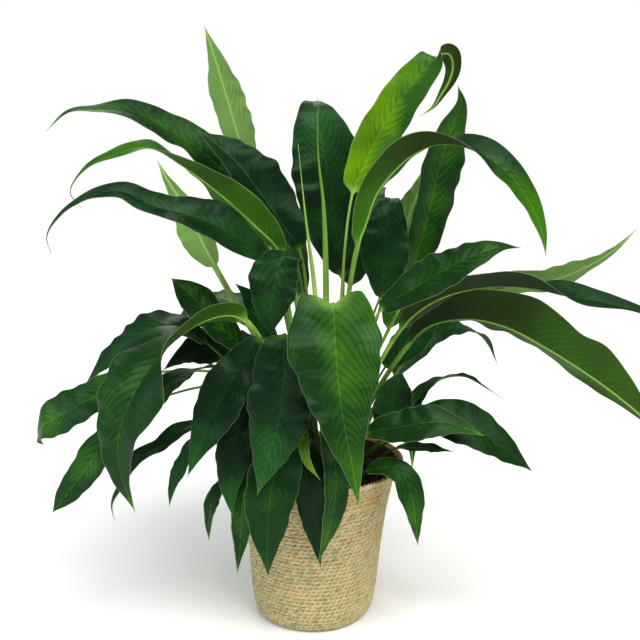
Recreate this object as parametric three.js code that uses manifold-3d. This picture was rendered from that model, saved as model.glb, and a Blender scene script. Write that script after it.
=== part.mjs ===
// Large-leaved peace lily in a black nursery pot, standing in a woven seagrass basket.
// Millimetres, +Z up, +X to the right, -Y to the front. The origin is the middle of the basket's foot.
import * as THREE from "three";
import { mergeVertices } from "three/addons/utils/BufferGeometryUtils.js";
import Module from "manifold-3d";

const wasm = await Module();
wasm.setup();

// ---- driving dimensions -------------------------------------------------------------------------
const basketHeight = 290;
const basketFootRadius = 98;
const basketBellyRadius = 121;
const basketRimRadius = 160;
const basketWall = 9;
const basketLean = 0.02; // how far the basket leans to the right, per millimetre of height
const basketRimRise = 0.035; // the rim's rise to the right, per millimetre of x
const basketSides = 32;

const potHeight = 262;
const potFootRadius = 88;
const potMouthRadius = 117;
const potWall = 2.5;
const potLip = 4; // how far the lip stands out
const potLipShare = 0.1; // the share of the pot's height that the lip takes up
const potSides = 28;

const soilLevel = 244;
const soilFootInset = 3; // between the soil and the pot's wall, beside the gap, low down and at the top
const soilTopInset = 1.5;
const touchGap = 0.4; // what keeps pieces that touch apart

const crown = new THREE.Vector3(18, 0, soilLevel);
const crownInnerRadius = 12;
const crownOuterRadius = 82;
const petioleSpacing = 11.5; // least distance between the middles of two petioles' feet
const petioleSink = 40; // how deep a petiole stands in the soil
const petioleBreak = 6; // length of petiole above the soil before it may bend
const bendReach = 0.36; // how far towards its collar a petiole has leant out at its bend
const bendRise = 0.52; // how far towards its collar's height the bend is, unless a leaf has its own arch
const petioleMiddle = 0.5; // the station between the soil and the collar, as a share of the way
const spreadRounds = 400;
const spreadPush = 0.25; // the share of the missing distance that two feet move apart in one round
const holeSides = 7;
const holeClearance = 1.1; // between a petiole and its hole in the soil
const holeDepthSpare = 2; // how much longer a hole is than the petiole in it

const bladeThickness = 1.0;
const bladeStart = 0.06; // the share of a blade's length over which its stalk widens into the blade
const tipSharpness = 1.35; // of the outline between the widest place and the tip
const camber = 0.3; // how much of each half's rise is lost again at its margin
const marginWave = 0.05; // height of the margin's waves, as a share of the blade's width
const marginWaves = 2.6; // waves along one margin
const leafPhase = 0.37; // shift of the waves from one leaf to the next, in waves
const sidePhase = 0.21; // shift of the waves to either side of the midrib, in waves
const ribHeight = 0.55; // of the midrib below the blade, as a share of the petiole's radius
const ribFade = 1.5; // how fast the midrib thins towards the tip
const lobeLength = 0.3; // the share of a blade's length that its base lobes take up
const tipHalfWidth = 0.9;
const fiveAcrossWidth = 68; // a blade at least this wide has five points across, a narrower one three
const bladeShares = [0.03, 0.1, 0.2, 0.31, 0.42, 0.53, 0.64, 0.75, 0.86, 0.95, 1];
const spearShares = [0.25, 0.4, 0.55, 0.7, 0.85, 1];
const spearSwell = 0.3; // how much thicker a spear's middle is, as a share of its width

const lineSteps = 600; // steps in which a shoot's centre line is measured
const collarIndex = 3; // the collar's place among a shoot line's points

// ---- materials ----------------------------------------------------------------------------------
function material(colour, roughness) {
  return new THREE.MeshStandardMaterial({ color: colour, roughness, metalness: 0 });
}

const seagrass = material("#bfae7c", 0.85);
const blackPlastic = material("#1b1b1c", 0.5);
const pottingSoil = material("#2a211b", 0.95);
const leafTones = {
  dark: material("#26502b", 0.35),
  green: material("#3c7434", 0.38),
  bright: material("#7aa63a", 0.42),
  pale: material("#8fb36c", 0.5),
};

// ---- the leaves, each midrib from the top of its petiole to its tip -------------------------------
// face: directions that the blade's upper side looks in, spread evenly from its base to its tip.
// fold: how far each half rises from the midrib, in degrees, or that at the base and at the tip.
// peak: where along the blade it is widest. bluntness: below 1 the blade starts round, near 1 as a wedge.
// taper: the lower it is, the sooner the blade narrows to its tip. lobe: how far the base reaches back.
// stalk: how many times thicker than usual the petiole is where it meets the blade.
// arch: how high the petiole's bend is, as a share of its collar's height above the soil.
const leaves = [
  {
    name: "tall_left", width: 72, tone: "pale", fold: 12, face: [[0.3, 1, 0.2], [0.3, 1, 0.3]],
    midrib: [[-119, 138, 799], [-139, 138, 873], [-158, 128, 944], [-175, 116, 1006], [-190, 104, 1057]],
  },
  {
    name: "arch_left_top", width: 80, tone: "green", fold: 18, peak: 0.45, taper: 1.3,
    face: [[0, -0.6, 0.8], [-0.3, -0.5, 0.8]],
    midrib: [
      [-92, 88, 745], [-145, 86, 793], [-200, 76, 844], [-258, 62, 883], [-318, 44, 913], [-372, 28, 915],
      [-415, 14, 912], [-451, 4, 881],
    ],
  },
  {
    name: "dark_left_back", width: 104, tone: "dark", fold: 32, peak: 0.5,
    face: [[0.5, -0.8, 0.4], [0.4, -0.75, 0.5], [0, -0.4, 0.8]],
    midrib: [
      [-22, 0, 674], [-55, 12, 724], [-95, 22, 779], [-133, 32, 826], [-174, 42, 860], [-202, 52, 880],
    ],
  },
  {
    name: "arch_left_lit", width: 80, tone: "green", fold: [30, 20], peak: 0.3, taper: 1.1, stalk: 1.9,
    face: [[0.39, 0.77, 0.51], [0.39, 0.77, 0.51], [0, -0.5, 0.85], [-0.7, -0.4, 0.5]],
    midrib: [
      [-48, -52, 672], [-99, -72, 735], [-158, -92, 792], [-208, -106, 832], [-259, -112, 861],
      [-320, -106, 848], [-362, -112, 828], [-388, -112, 790], [-372, -110, 765],
    ],
  },
  {
    name: "arch_left_low", width: 84, tone: "dark", fold: 20, peak: 0.3, taper: 0.9,
    face: [[0, -0.7, 0.7], [0, -0.6, 0.8], [-0.7, -0.5, 0.3]],
    midrib: [
      [-75, -76, 668], [-125, -103, 718], [-190, -121, 752], [-250, -132, 770], [-302, -142, 795],
      [-356, -147, 786], [-396, -150, 760], [-420, -150, 725], [-416, -148, 698],
    ],
  },
  {
    name: "pale_left_upright", width: 66, tone: "pale", fold: 28, peak: 0.34, taper: 1.1, stalk: 2.6,
    face: [[-0.5, 0.85, 0], [-0.3, 0.9, 0.1]],
    midrib: [[-172, 16, 645], [-203, 25, 705], [-231, 30, 760], [-256, 30, 802], [-270, 28, 833]],
  },
  {
    name: "tall_centre_dark", width: 136, tone: "dark", fold: 8, peak: 0.52, taper: 1.6,
    face: [[0, -1, 0.15], [0, -1, 0.15], [0, -0.9, 0.4], [0, 0.1, 1]],
    midrib: [
      [54, 52, 615], [42, 62, 695], [30, 74, 785], [14, 90, 868], [4, 108, 911], [0, 142, 926], [0, 176, 912],
    ],
  },
  {
    name: "bright_tall_right", width: 74, tone: "bright", fold: 14, peak: 0.28, taper: 1.8, bluntness: 0.6,
    face: [[0.1, -0.95, 0.3], [0.1, -0.95, 0.3], [0.1, -0.9, 0.4], [0.2, 0.9, 0.1], [0.2, 0.9, 0]],
    midrib: [
      [67, -8, 772], [90, -8, 833], [125, -4, 900], [163, 2, 955], [193, 10, 989], [216, 20, 1007],
      [232, 32, 1006], [239, 42, 986], [234, 46, 963], [222, 48, 941], [207, 47, 919], [185, 44, 904],
    ],
  },
  {
    name: "arch_right_top", width: 76, tone: "green", fold: [46, 14], peak: 0.42, taper: 2.8, stalk: 2,
    face: [
      [-0.63, 0.74, 0.22], [-0.6, 0.75, 0.3], [-0.3, 0.2, 0.9], [0.3, -0.75, 0.6], [0.4, -0.8, 0.4],
    ],
    midrib: [
      [74, -52, 686], [89, -58, 732], [105, -72, 782], [131, -86, 820], [163, -100, 850], [198, -112, 866],
      [230, -122, 866], [261, -130, 855], [294, -136, 835], [326, -140, 804], [350, -142, 766],
      [367, -142, 726], [375, -138, 691],
    ],
  },
  {
    name: "tall_right_ribbed", width: 80, tone: "green", fold: 22, peak: 0.5, taper: 2.6,
    face: [[0.42, -0.9, 0], [0.3, -0.9, 0.3]],
    midrib: [
      [172, 70, 592], [193, 75, 674], [212, 80, 745], [226, 80, 817], [243, 75, 878], [258, 70, 925],
      [252, 68, 956],
    ],
  },
  {
    name: "pale_right_back", width: 58, tone: "pale", fold: 10, face: [[0, 1, 0.2], [0, 1, 0.2]],
    midrib: [[152, 165, 628], [168, 168, 677], [185, 168, 728], [201, 166, 771], [216, 162, 818]],
  },
  {
    name: "dark_right_back", width: 88, tone: "dark", fold: 10, peak: 0.45,
    face: [[0, -1, 0.15], [0, -1, 0.3], [0, 0.4, 0.8]],
    midrib: [
      [123, 25, 584], [126, 30, 640], [129, 40, 698], [134, 52, 744], [141, 75, 758], [148, 100, 742],
    ],
  },
  {
    name: "right_upper", width: 74, tone: "green", fold: 10, peak: 0.45,
    face: [[-0.1, -0.75, 0.65], [0, -0.6, 0.8]],
    midrib: [
      [110, -130, 598], [158, -140, 635], [205, -145, 666], [252, -145, 690], [300, -140, 706],
      [335, -135, 704],
    ],
  },
  {
    name: "right_long_arch", width: 82, tone: "green", fold: 25, peak: 0.42, stalk: 1.6,
    face: [[0, 0.7, 0.7], [0, 0.6, 0.8], [0, -0.35, 0.95], [0.5, -0.5, 0.6]],
    midrib: [
      [143, -98, 554], [178, -110, 596], [225, -120, 624], [288, -126, 638], [353, -130, 637],
      [418, -132, 623], [488, -130, 610], [553, -126, 590], [594, -118, 555],
    ],
  },
  {
    name: "right_broad_droop", width: 122, tone: "green", fold: [46, 32], peak: 0.5, bluntness: 0.9, stalk: 1.6,
    face: [[0.1, 0.75, 0.65], [0.25, 0.72, 0.68], [0.4, 0.8, 0.45]],
    midrib: [
      [163, -40, 514], [201, -50, 554], [265, -60, 569], [326, -70, 558], [394, -78, 524], [464, -82, 480],
      [535, -84, 428], [612, -80, 360],
    ],
  },
  {
    name: "pale_right", width: 66, tone: "pale", fold: 8, peak: 0.42, taper: 1.4,
    face: [[0, 0.8, 0.5], [-0.3, 0.8, 0.5]],
    midrib: [[281, 70, 592], [357, 70, 604], [429, 65, 610], [498, 60, 640], [543, 55, 672], [575, 50, 707]],
  },
  {
    name: "dark_right_low", width: 60, tone: "dark", fold: 8, face: [[0, -1, 0.3], [0, -1, 0.3]],
    midrib: [[128, 0, 465], [155, 0, 498], [189, 0, 535], [220, 0, 566], [245, 5, 589]],
  },
  {
    name: "right_small_upright", width: 70, tone: "dark", fold: 10, taper: 3.4,
    face: [[0, -0.9, 0.3], [0, -0.9, 0.3]],
    midrib: [[136, -45, 349], [138, -50, 386], [141, -50, 420], [147, -52, 449], [155, -58, 474]],
  },
  {
    name: "right_thin", width: 42, tone: "green", fold: 15,
    face: [[0.5, -0.6, 0.5], [0, 0.15, 1], [0, 0, 1]],
    midrib: [
      [165, -10, 374], [190, -20, 419], [224, -25, 450], [267, -30, 457], [304, -35, 438], [338, -35, 416],
    ],
  },
  {
    name: "right_low_front", width: 66, tone: "green", fold: 8, peak: 0.42,
    face: [[0, -0.75, 0.65], [0, -0.7, 0.7]],
    midrib: [[90, -115, 381], [147, -125, 398], [205, -130, 408], [250, -130, 400], [288, -128, 383]],
  },
  {
    name: "right_low_back", width: 84, tone: "green", fold: 12, peak: 0.48,
    face: [[0, -0.7, 0.7], [0.3, -0.7, 0.6]],
    midrib: [[151, -75, 378], [210, -85, 400], [278, -95, 382], [334, -98, 345], [381, -95, 305]],
  },
  {
    name: "right_low_sliver", width: 34, tone: "green", fold: 8, face: [[0, -0.15, 1], [0, -0.3, 1]],
    midrib: [[147, -50, 332], [180, -55, 336], [215, -58, 334], [247, -58, 328]],
  },
  {
    name: "rim_right", width: 48, tone: "green", fold: 10, peak: 0.45,
    face: [[0, -0.5, 0.85], [0.2, -0.8, 0.5], [0.3, -0.9, 0.1]],
    midrib: [
      [90, -110, 312], [122, -128, 328], [151, -140, 320], [168, -150, 277], [175, -150, 231],
      [180, -145, 190],
    ],
  },
  {
    name: "front_heart", width: 150, tone: "green", fold: 6, peak: 0.22, taper: 1.3, bluntness: 0.5, lobe: 48,
    face: [[0, -0.85, 0.5], [0, -0.95, 0.3], [0, -1, 0.1]],
    midrib: [
      [33, -205, 628], [36, -235, 577], [41, -260, 513], [51, -278, 447], [63, -288, 386], [73, -292, 324],
    ],
  },
  {
    name: "front_dark", width: 112, tone: "dark", fold: 8, peak: 0.38, bluntness: 0.55,
    face: [[-0.1, -0.9, 0.4], [-0.1, -1, 0.1]],
    midrib: [[-44, -165, 569], [-46, -200, 505], [-53, -215, 440], [-70, -225, 383], [-88, -232, 320]],
  },
  {
    name: "front_left_dark", width: 82, tone: "dark", fold: 8, peak: 0.4,
    face: [[-0.2, -0.9, 0.35], [-0.2, -1, 0.1]],
    midrib: [[-84, -145, 557], [-116, -165, 512], [-149, -182, 460], [-177, -190, 402], [-204, -194, 336]],
  },
  {
    name: "front_left_behind", width: 66, tone: "dark", fold: 10, peak: 0.45,
    face: [[-0.1, -0.9, 0.35], [0, -1, 0.1]],
    midrib: [[-99, -105, 470], [-114, -132, 421], [-132, -148, 357], [-138, -158, 298], [-135, -160, 250]],
  },
  {
    name: "front_low_bright", width: 92, tone: "green", fold: 8, peak: 0.36,
    face: [[0, -0.85, 0.5], [0, -1, 0]],
    midrib: [[-46, -135, 396], [-57, -172, 357], [-70, -188, 293], [-75, -190, 222], [-75, -184, 151]],
  },
  {
    name: "front_mid_dark", width: 54, tone: "dark", fold: 10, peak: 0.42,
    face: [[-0.1, -0.9, 0.35], [0, -1, 0]],
    midrib: [[-3, -128, 376], [-2, -162, 335], [0, -172, 277], [7, -172, 214], [14, -168, 161]],
  },
  {
    name: "front_mid_right", width: 46, tone: "green", fold: 14, peak: 0.4,
    face: [[0.3, -0.85, 0.35], [0.3, -0.9, 0]],
    midrib: [[16, -140, 394], [36, -178, 359], [39, -188, 311], [31, -188, 254], [9, -180, 176]],
  },
  {
    name: "front_young", width: 20, tone: "bright", fold: 20, face: [[-0.3, -0.9, 0.3], [-0.3, -0.9, 0.1]],
    midrib: [[-20, -165, 428], [-14, -200, 400], [-8, -209, 370], [13, -209, 336]],
  },
  {
    name: "left_low_hanging", width: 38, tone: "green", fold: 12, peak: 0.35,
    face: [[-0.2, -0.9, 0.35], [-0.1, -1, 0]],
    midrib: [[-113, -125, 310], [-118, -150, 270], [-122, -152, 214], [-130, -146, 139]],
  },
  {
    name: "left_low_curved", width: 28, tone: "green", fold: 15, face: [[0, -0.5, 0.85], [-0.6, -0.8, 0]],
    midrib: [[-140, -105, 305], [-155, -115, 290], [-170, -122, 268], [-178, -125, 236], [-180, -120, 187]],
  },
  {
    name: "left_up_short", width: 62, tone: "green", fold: 10, peak: 0.55, taper: 3.4,
    face: [[0.2, -0.8, 0.6], [0.2, -0.8, 0.6], [0, -0.6, 0.8]],
    midrib: [[-112, -60, 509], [-144, -68, 545], [-181, -72, 586], [-213, -70, 620], [-238, -62, 640]],
  },
  {
    name: "left_big_droop", width: 124, tone: "green", fold: 14, peak: 0.46, stalk: 1.8,
    face: [[0, 0.9, 0.35], [-0.1, 0.35, 0.9], [-0.35, -0.7, 0.6], [-0.4, -0.85, 0.3], [-0.5, -0.85, 0]],
    midrib: [
      [-104, -150, 584], [-131, -165, 601], [-171, -185, 596], [-212, -203, 572], [-251, -215, 532],
      [-284, -226, 478], [-306, -232, 414], [-304, -234, 356], [-284, -232, 291],
    ],
  },
  {
    name: "left_behind_arch", width: 84, tone: "dark", fold: 8, peak: 0.45,
    face: [[0, -0.35, 0.95], [-0.5, -0.5, 0.7]],
    midrib: [[-180, -58, 525], [-229, -65, 558], [-290, -65, 547], [-348, -60, 503], [-398, -50, 447]],
  },
  {
    name: "left_broad", width: 72, tone: "green", fold: 8, peak: 0.6, arch: 0.85,
    face: [[0, -0.8, 0.6], [-0.1, -0.8, 0.6], [-0.7, 0.1, -0.2]],
    midrib: [
      [-262, -120, 492], [-311, -130, 482], [-357, -135, 457], [-406, -138, 430], [-450, -130, 403],
      [-467, -110, 376], [-463, -90, 351],
    ],
  },
  {
    name: "left_lower", width: 56, tone: "green", fold: 10, peak: 0.55, taper: 3.2, arch: 1,
    face: [[0, -0.85, 0.5], [-0.3, -0.85, 0.3]],
    midrib: [[-268, -145, 448], [-315, -152, 412], [-352, -158, 370], [-393, -160, 315], [-438, -158, 257]],
  },
  {
    name: "left_under", width: 46, tone: "green", fold: 14, peak: 0.45, arch: 0.7,
    face: [[0, 0.6, 0.8], [0, -0.4, 0.9], [-0.5, -0.8, 0.3]],
    midrib: [[-153, -100, 493], [-199, -130, 497], [-235, -160, 482], [-265, -180, 441], [-302, -190, 387]],
  },
  {
    name: "left_long_twisted", width: 37, tone: "dark", fold: 15, peak: 0.35,
    face: [[0, -0.6, 0.8], [0, -0.4, 0.9], [-0.6, -0.6, 0.5], [-0.8, -0.5, 0]],
    midrib: [
      [-185, -75, 386], [-228, -90, 380], [-265, -100, 353], [-302, -108, 334], [-329, -112, 288],
      [-346, -114, 254], [-344, -112, 223],
    ],
  },
  {
    name: "left_low_narrow", width: 28, tone: "dark", fold: 12, face: [[-0.3, -0.8, 0.4], [-0.5, -0.85, 0]],
    midrib: [[-205, -85, 360], [-223, -105, 326], [-240, -115, 289], [-247, -118, 250]],
  },
  {
    name: "left_inner_dark", width: 50, tone: "dark", fold: 8, peak: 0.5,
    face: [[0, -0.5, 0.85], [-0.1, -0.7, 0.7], [-0.4, -0.8, 0.3]],
    midrib: [[-98, -37, 396], [-136, -43, 412], [-170, -46, 407], [-190, -43, 380], [-197, -40, 348]],
  },
  {
    name: "left_shaded", width: 78, tone: "dark", fold: 10, peak: 0.45,
    face: [[0, -0.5, 0.85], [-0.1, -0.75, 0.65], [-0.5, -0.7, 0.5]],
    midrib: [[-79, -8, 494], [-128, -14, 507], [-179, -13, 508], [-225, -13, 494], [-265, -20, 466]],
  },
  {
    name: "centre_left_dark", width: 84, tone: "dark", fold: 8, peak: 0.5,
    face: [[0, -0.2, 1], [-0.1, -0.8, 0.6], [-0.1, -1, 0.2]],
    midrib: [[-26, -84, 666], [-42, -108, 686], [-58, -124, 662], [-67, -132, 607], [-68, -128, 554]],
  },
  {
    name: "left_back_dark", width: 50, tone: "dark", fold: 8, face: [[0, -1, 0.3], [0, -1, 0.3]],
    midrib: [[-81, 38, 488], [-97, 38, 547], [-116, 38, 588], [-140, 38, 612]],
  },
  {
    name: "back_centre", width: 112, tone: "dark", fold: 14, face: [[0, -0.6, 0.8], [0, 0.6, 0.8]],
    midrib: [[68, 95, 590], [80, 165, 690], [90, 245, 745], [96, 320, 720], [98, 375, 640]],
  },
  {
    name: "back_left", width: 104, tone: "green", fold: 14, face: [[0.2, -0.6, 0.8], [-0.4, 0.5, 0.8]],
    midrib: [[-25, 110, 560], [-65, 185, 665], [-110, 260, 720], [-150, 325, 695], [-175, 370, 625]],
  },
  {
    name: "back_low_left", width: 92, tone: "green", fold: 12, face: [[0.3, -0.3, 0.9], [-0.6, 0.4, 0.7]],
    midrib: [[-70, 100, 470], [-130, 160, 530], [-195, 225, 545], [-250, 285, 505], [-285, 325, 430]],
  },
  {
    name: "back_right", width: 100, tone: "green", fold: 14, face: [[-0.3, -0.4, 0.9], [0.5, 0.5, 0.8]],
    midrib: [[140, 130, 500], [190, 205, 575], [240, 280, 595], [285, 345, 550], [310, 385, 470]],
  },
  {
    name: "back_low_right", width: 84, tone: "dark", fold: 12, face: [[-0.3, -0.2, 0.9], [0.7, 0.2, 0.7]],
    midrib: [[150, 85, 420], [215, 135, 480], [283, 180, 496], [338, 215, 462], [372, 238, 402]],
  },
  {
    name: "back_low_centre", width: 86, tone: "dark", fold: 12, face: [[0, -0.3, 0.9], [0, 0.8, 0.5]],
    midrib: [[40, 130, 420], [50, 200, 475], [58, 270, 480], [64, 330, 430], [66, 365, 350]],
  },
  {
    name: "back_hanging_left", width: 62, tone: "green", fold: 12, face: [[0, 0.3, 0.9], [-0.4, 0.9, 0.1]],
    midrib: [[-45, 130, 360], [-75, 180, 380], [-98, 215, 340], [-110, 228, 270], [-114, 225, 195]],
  },
  {
    name: "back_hanging_right", width: 56, tone: "green", fold: 12, face: [[0.3, 0.3, 0.9], [0.6, 0.8, 0.1]],
    midrib: [[120, 120, 350], [155, 160, 368], [182, 190, 330], [196, 202, 262], [200, 200, 190]],
  },
];

// The rolled leaves that still stand as spears, from their foot's side to their tip.
const spears = [
  {
    name: "spear_lime", width: 11, tone: "bright",
    midrib: [[4, -34, 606], [-12, -32, 740], [-24, -30, 861]],
  },
  {
    name: "spear_green", width: 14, tone: "green",
    midrib: [[23, 14, 587], [19, 14, 746], [9, 14, 849], [9, 14, 936]],
  },
];

// ---- solids ---------------------------------------------------------------------------------------
// A closed solid between an upper and a lower grid of points, both split along the same diagonals.
// A grid is a list of stations, each a list of points from the left margin to the right one.
function solidBetween(upper, lower) {
  const across = upper[0].length;
  const last = upper.length - 1;
  const position = [...upper.flat(), ...lower.flat()].flatMap((point) => point.toArray());
  const top = (i, k) => i * across + k;
  const under = (i, k) => (last + 1 + i) * across + k;
  const index = [];
  for (let i = 0; i < last; i += 1) {
    for (let k = 0; k < across - 1; k += 1) {
      index.push(top(i, k), top(i, k + 1), top(i + 1, k + 1), top(i, k), top(i + 1, k + 1), top(i + 1, k));
      index.push(under(i, k), under(i + 1, k + 1), under(i, k + 1));
      index.push(under(i, k), under(i + 1, k), under(i + 1, k + 1));
    }
    const edge = across - 1;
    index.push(under(i, edge), under(i + 1, edge), top(i + 1, edge));
    index.push(under(i, edge), top(i + 1, edge), top(i, edge));
    index.push(under(i, 0), top(i + 1, 0), under(i + 1, 0));
    index.push(under(i, 0), top(i, 0), top(i + 1, 0));
  }
  for (let k = 0; k < across - 1; k += 1) {
    index.push(top(0, k), under(0, k), under(0, k + 1));
    index.push(top(0, k), under(0, k + 1), top(0, k + 1));
    index.push(top(last, k), under(last, k + 1), under(last, k));
    index.push(top(last, k), top(last, k + 1), under(last, k + 1));
  }
  const geometry = new THREE.BufferGeometry();
  geometry.setAttribute("position", new THREE.Float32BufferAttribute(position, 3));
  geometry.setIndex(index);
  return geometry;
}

function manifoldOf(geometry) {
  const bare = geometry.clone();
  bare.deleteAttribute("normal");
  bare.deleteAttribute("uv");
  const merged = mergeVertices(bare);
  const mesh = new wasm.Mesh({
    numProp: 3,
    vertProperties: merged.attributes.position.array,
    triVerts: new Uint32Array(merged.index.array),
  });
  return new wasm.Manifold(mesh);
}

function geometryOf(solid) {
  const mesh = solid.getMesh();
  const geometry = new THREE.BufferGeometry();
  geometry.setAttribute("position", new THREE.BufferAttribute(mesh.vertProperties, 3));
  geometry.setIndex(new THREE.BufferAttribute(mesh.triVerts, 1));
  return geometry;
}

// ---- leaves ---------------------------------------------------------------------------------------
// Where a petiole that reaches this collar would stand: the further it leans out, the further from the
// crown's middle, so that the petioles fan out.
function wantedFoot(collar) {
  const out = new THREE.Vector2(collar.x - crown.x, collar.y - crown.y);
  const reach = out.length();
  const lean = Math.atan2(reach, collar.z - soilLevel) / (Math.PI / 2);
  const radius = Math.min(THREE.MathUtils.lerp(crownInnerRadius, crownOuterRadius, lean), reach);
  return out.multiplyScalar(radius / reach).add(new THREE.Vector2(crown.x, crown.y));
}

// Feet that stand too close push each other apart, a little at a time.
function spreadFeet(feet) {
  for (let round = 0; round < spreadRounds; round += 1) {
    feet.forEach((foot, i) => {
      feet.slice(i + 1).forEach((other) => {
        const apart = other.clone().sub(foot);
        const missing = petioleSpacing - apart.length();
        if (missing > 0) {
          apart.setLength(spreadPush * missing);
          foot.sub(apart);
          other.add(apart);
        }
      });
    });
  }
}

// A shoot's centre line: upright through the soil, bending out on the way to its collar, and on
// along the points given for its blade.
function shootLine(foot, points, arch = bendRise) {
  const collar = points[0];
  const rise = collar.z - soilLevel;
  const upright = [-petioleSink, 0].map((height) => new THREE.Vector3(foot.x, foot.y, soilLevel + height));
  const bend = new THREE.Vector3(foot.x, foot.y, 0).lerp(collar, bendReach);
  bend.z = soilLevel + arch * rise;
  const line = new THREE.CatmullRomCurve3([...upright, bend, ...points]);
  line.arcLengthDivisions = lineSteps;
  return line;
}

// The share of its line's length at which a shoot has left the soil.
function plantedShare(line) {
  return (petioleSink + petioleBreak) / line.getLength();
}

function collarShare(line) {
  const step = Math.round((collarIndex / (line.points.length - 1)) * lineSteps);
  return line.getLengths()[step] / line.getLength();
}

// The plain hole in the soil that a shoot stands in.
function holeFor(line, radius) {
  const low = line.getPointAt(0);
  const high = line.getPointAt(plantedShare(line));
  const along = high.clone().sub(low);
  const hole = new THREE.CylinderGeometry(radius, radius, along.length() + holeDepthSpare, holeSides);
  const upright = new THREE.Vector3(0, 1, 0);
  hole.applyQuaternion(new THREE.Quaternion().setFromUnitVectors(upright, along.normalize()));
  return hole.translate(...low.lerp(high, 0.5).toArray());
}

// The blade's half width at a share s of its length, for a blade whose greatest half width is 1.
function outline(s, peak, taper, bluntness) {
  if (s < peak) {
    return (1 - ((peak - s) / peak) ** 2) ** bluntness;
  }
  return (1 - ((s - peak) / (1 - peak)) ** taper) ** tipSharpness;
}

function faceAt(face, s) {
  const place = s * (face.length - 1);
  const first = Math.min(Math.floor(place), face.length - 2);
  const a = new THREE.Vector3(...face[first]);
  const b = new THREE.Vector3(...face[first + 1]);
  return a.lerp(b, place - first).normalize();
}

// The radius of a petiole at its foot and at its collar, from the width of its blade.
function footRadiusOf(width) {
  return 2.2 + width / 60;
}

function collarRadiusOf(width) {
  return 1.2 + width / 80;
}

function leafGeometry(leaf, line, order) {
  const { width, fold, face, peak = 0.4, taper = 1.8, bluntness = 0.75, lobe = 8, stalk = 1 } = leaf;
  const collar = collarShare(line);
  const planted = plantedShare(line);
  const footRadius = footRadiusOf(width);
  const collarRadius = stalk * collarRadiusOf(width);
  const halfPoints = width >= fiveAcrossWidth ? 2 : 1;
  const across = 2 * halfPoints + 1;
  const [baseFold, tipFold] = Array.isArray(fold) ? fold : [fold, fold];
  const upper = [];
  const lower = [];

  const addStation = (share, s) => {
    const centre = line.getPointAt(share);
    const along = line.getTangentAt(share);
    const side = new THREE.Vector3().crossVectors(along, faceAt(face, s)).normalize();
    const up = new THREE.Vector3().crossVectors(side, along);
    const radius = THREE.MathUtils.lerp(footRadius, collarRadius, Math.min(share / collar, 1));
    const blade = THREE.MathUtils.smoothstep(s, 0, bladeStart);
    const half = Math.max((width / 2) * outline(s, peak, taper, bluntness), tipHalfWidth);
    const rise = Math.tan(THREE.MathUtils.degToRad(THREE.MathUtils.lerp(baseFold, tipFold, s)));
    const rib = radius * ribHeight * (1 - s) ** ribFade;
    const back = lobe * Math.max(1 - s / lobeLength, 0) ** 2 * blade;
    const rowUp = [];
    const rowDown = [];
    for (let k = 0; k < across; k += 1) {
      const u = (k - halfPoints) / halfPoints;
      const turn = Math.PI * (1 - (k + 0.5) / across);
      const wave = u * u * Math.sin(2 * Math.PI * (marginWaves * s + leafPhase * order + sidePhase * u));
      const lift = half * rise * (Math.abs(u) - camber * u * u) + marginWave * 2 * half * wave;
      const keel = u === 0 ? rib : 0;
      const place = (x, y) =>
        centre.clone().addScaledVector(side, x).addScaledVector(up, y).addScaledVector(along, -back * u * u);
      const flat = half * u;
      const round = radius * Math.cos(turn);
      const x = THREE.MathUtils.lerp(round, flat, blade);
      const heave = radius * Math.sin(turn);
      rowUp.push(place(x, THREE.MathUtils.lerp(heave, lift + bladeThickness / 2, blade)));
      rowDown.push(place(x, THREE.MathUtils.lerp(-heave, lift - bladeThickness / 2 - keel, blade)));
    }
    upper.push(rowUp);
    lower.push(rowDown);
  };

  const middle = THREE.MathUtils.lerp(planted, collar, petioleMiddle);
  [0, planted, middle, collar].forEach((share) => addStation(share, 0));
  bladeShares.forEach((s) => addStation(THREE.MathUtils.lerp(collar, 1, s), s));
  return solidBetween(upper, lower);
}

// A leaf that is still rolled up: a slim spear that swells in its middle.
function spearGeometry(spear, line) {
  const forward = new THREE.Vector3(0, -1, 0);
  const footRadius = footRadiusOf(spear.width);
  const upper = [];
  const lower = [];
  [0, plantedShare(line), ...spearShares].forEach((share) => {
    const centre = line.getPointAt(share);
    const side = new THREE.Vector3().crossVectors(line.getTangentAt(share), forward).normalize();
    const swell = spearSwell * spear.width * Math.sin(Math.PI * share) ** 2;
    const radius = THREE.MathUtils.lerp(footRadius, tipHalfWidth, share) + swell;
    const point = (turn) => centre.clone()
      .addScaledVector(side, radius * Math.cos(turn))
      .addScaledVector(forward, radius * Math.sin(turn));
    const turns = [5 / 6, 1 / 2, 1 / 6].map((part) => part * Math.PI);
    upper.push(turns.map((turn) => point(turn)));
    lower.push(turns.map((turn) => point(-turn)));
  });
  return solidBetween(upper, lower);
}

// ---- basket, pot and soil ---------------------------------------------------------------------------
// A shell turned about Z, from its outer profile (radius, height) and the same profile set in by the wall.
function shell(outer, wall, sides) {
  const inner = outer
    .filter(([, height]) => height > wall)
    .map(([radius, height]) => [radius - wall, height])
    .reverse();
  const foot = [[0, outer[0][1]], ...outer];
  const floor = outer[0][1] + wall;
  const profile = [...foot, ...inner, [inner.at(-1)[0] - wall / 2, floor], [0, floor]];
  const geometry = new THREE.LatheGeometry(profile.map(([r, z]) => new THREE.Vector2(r, z)), sides);
  return geometry.rotateX(Math.PI / 2);
}

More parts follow.
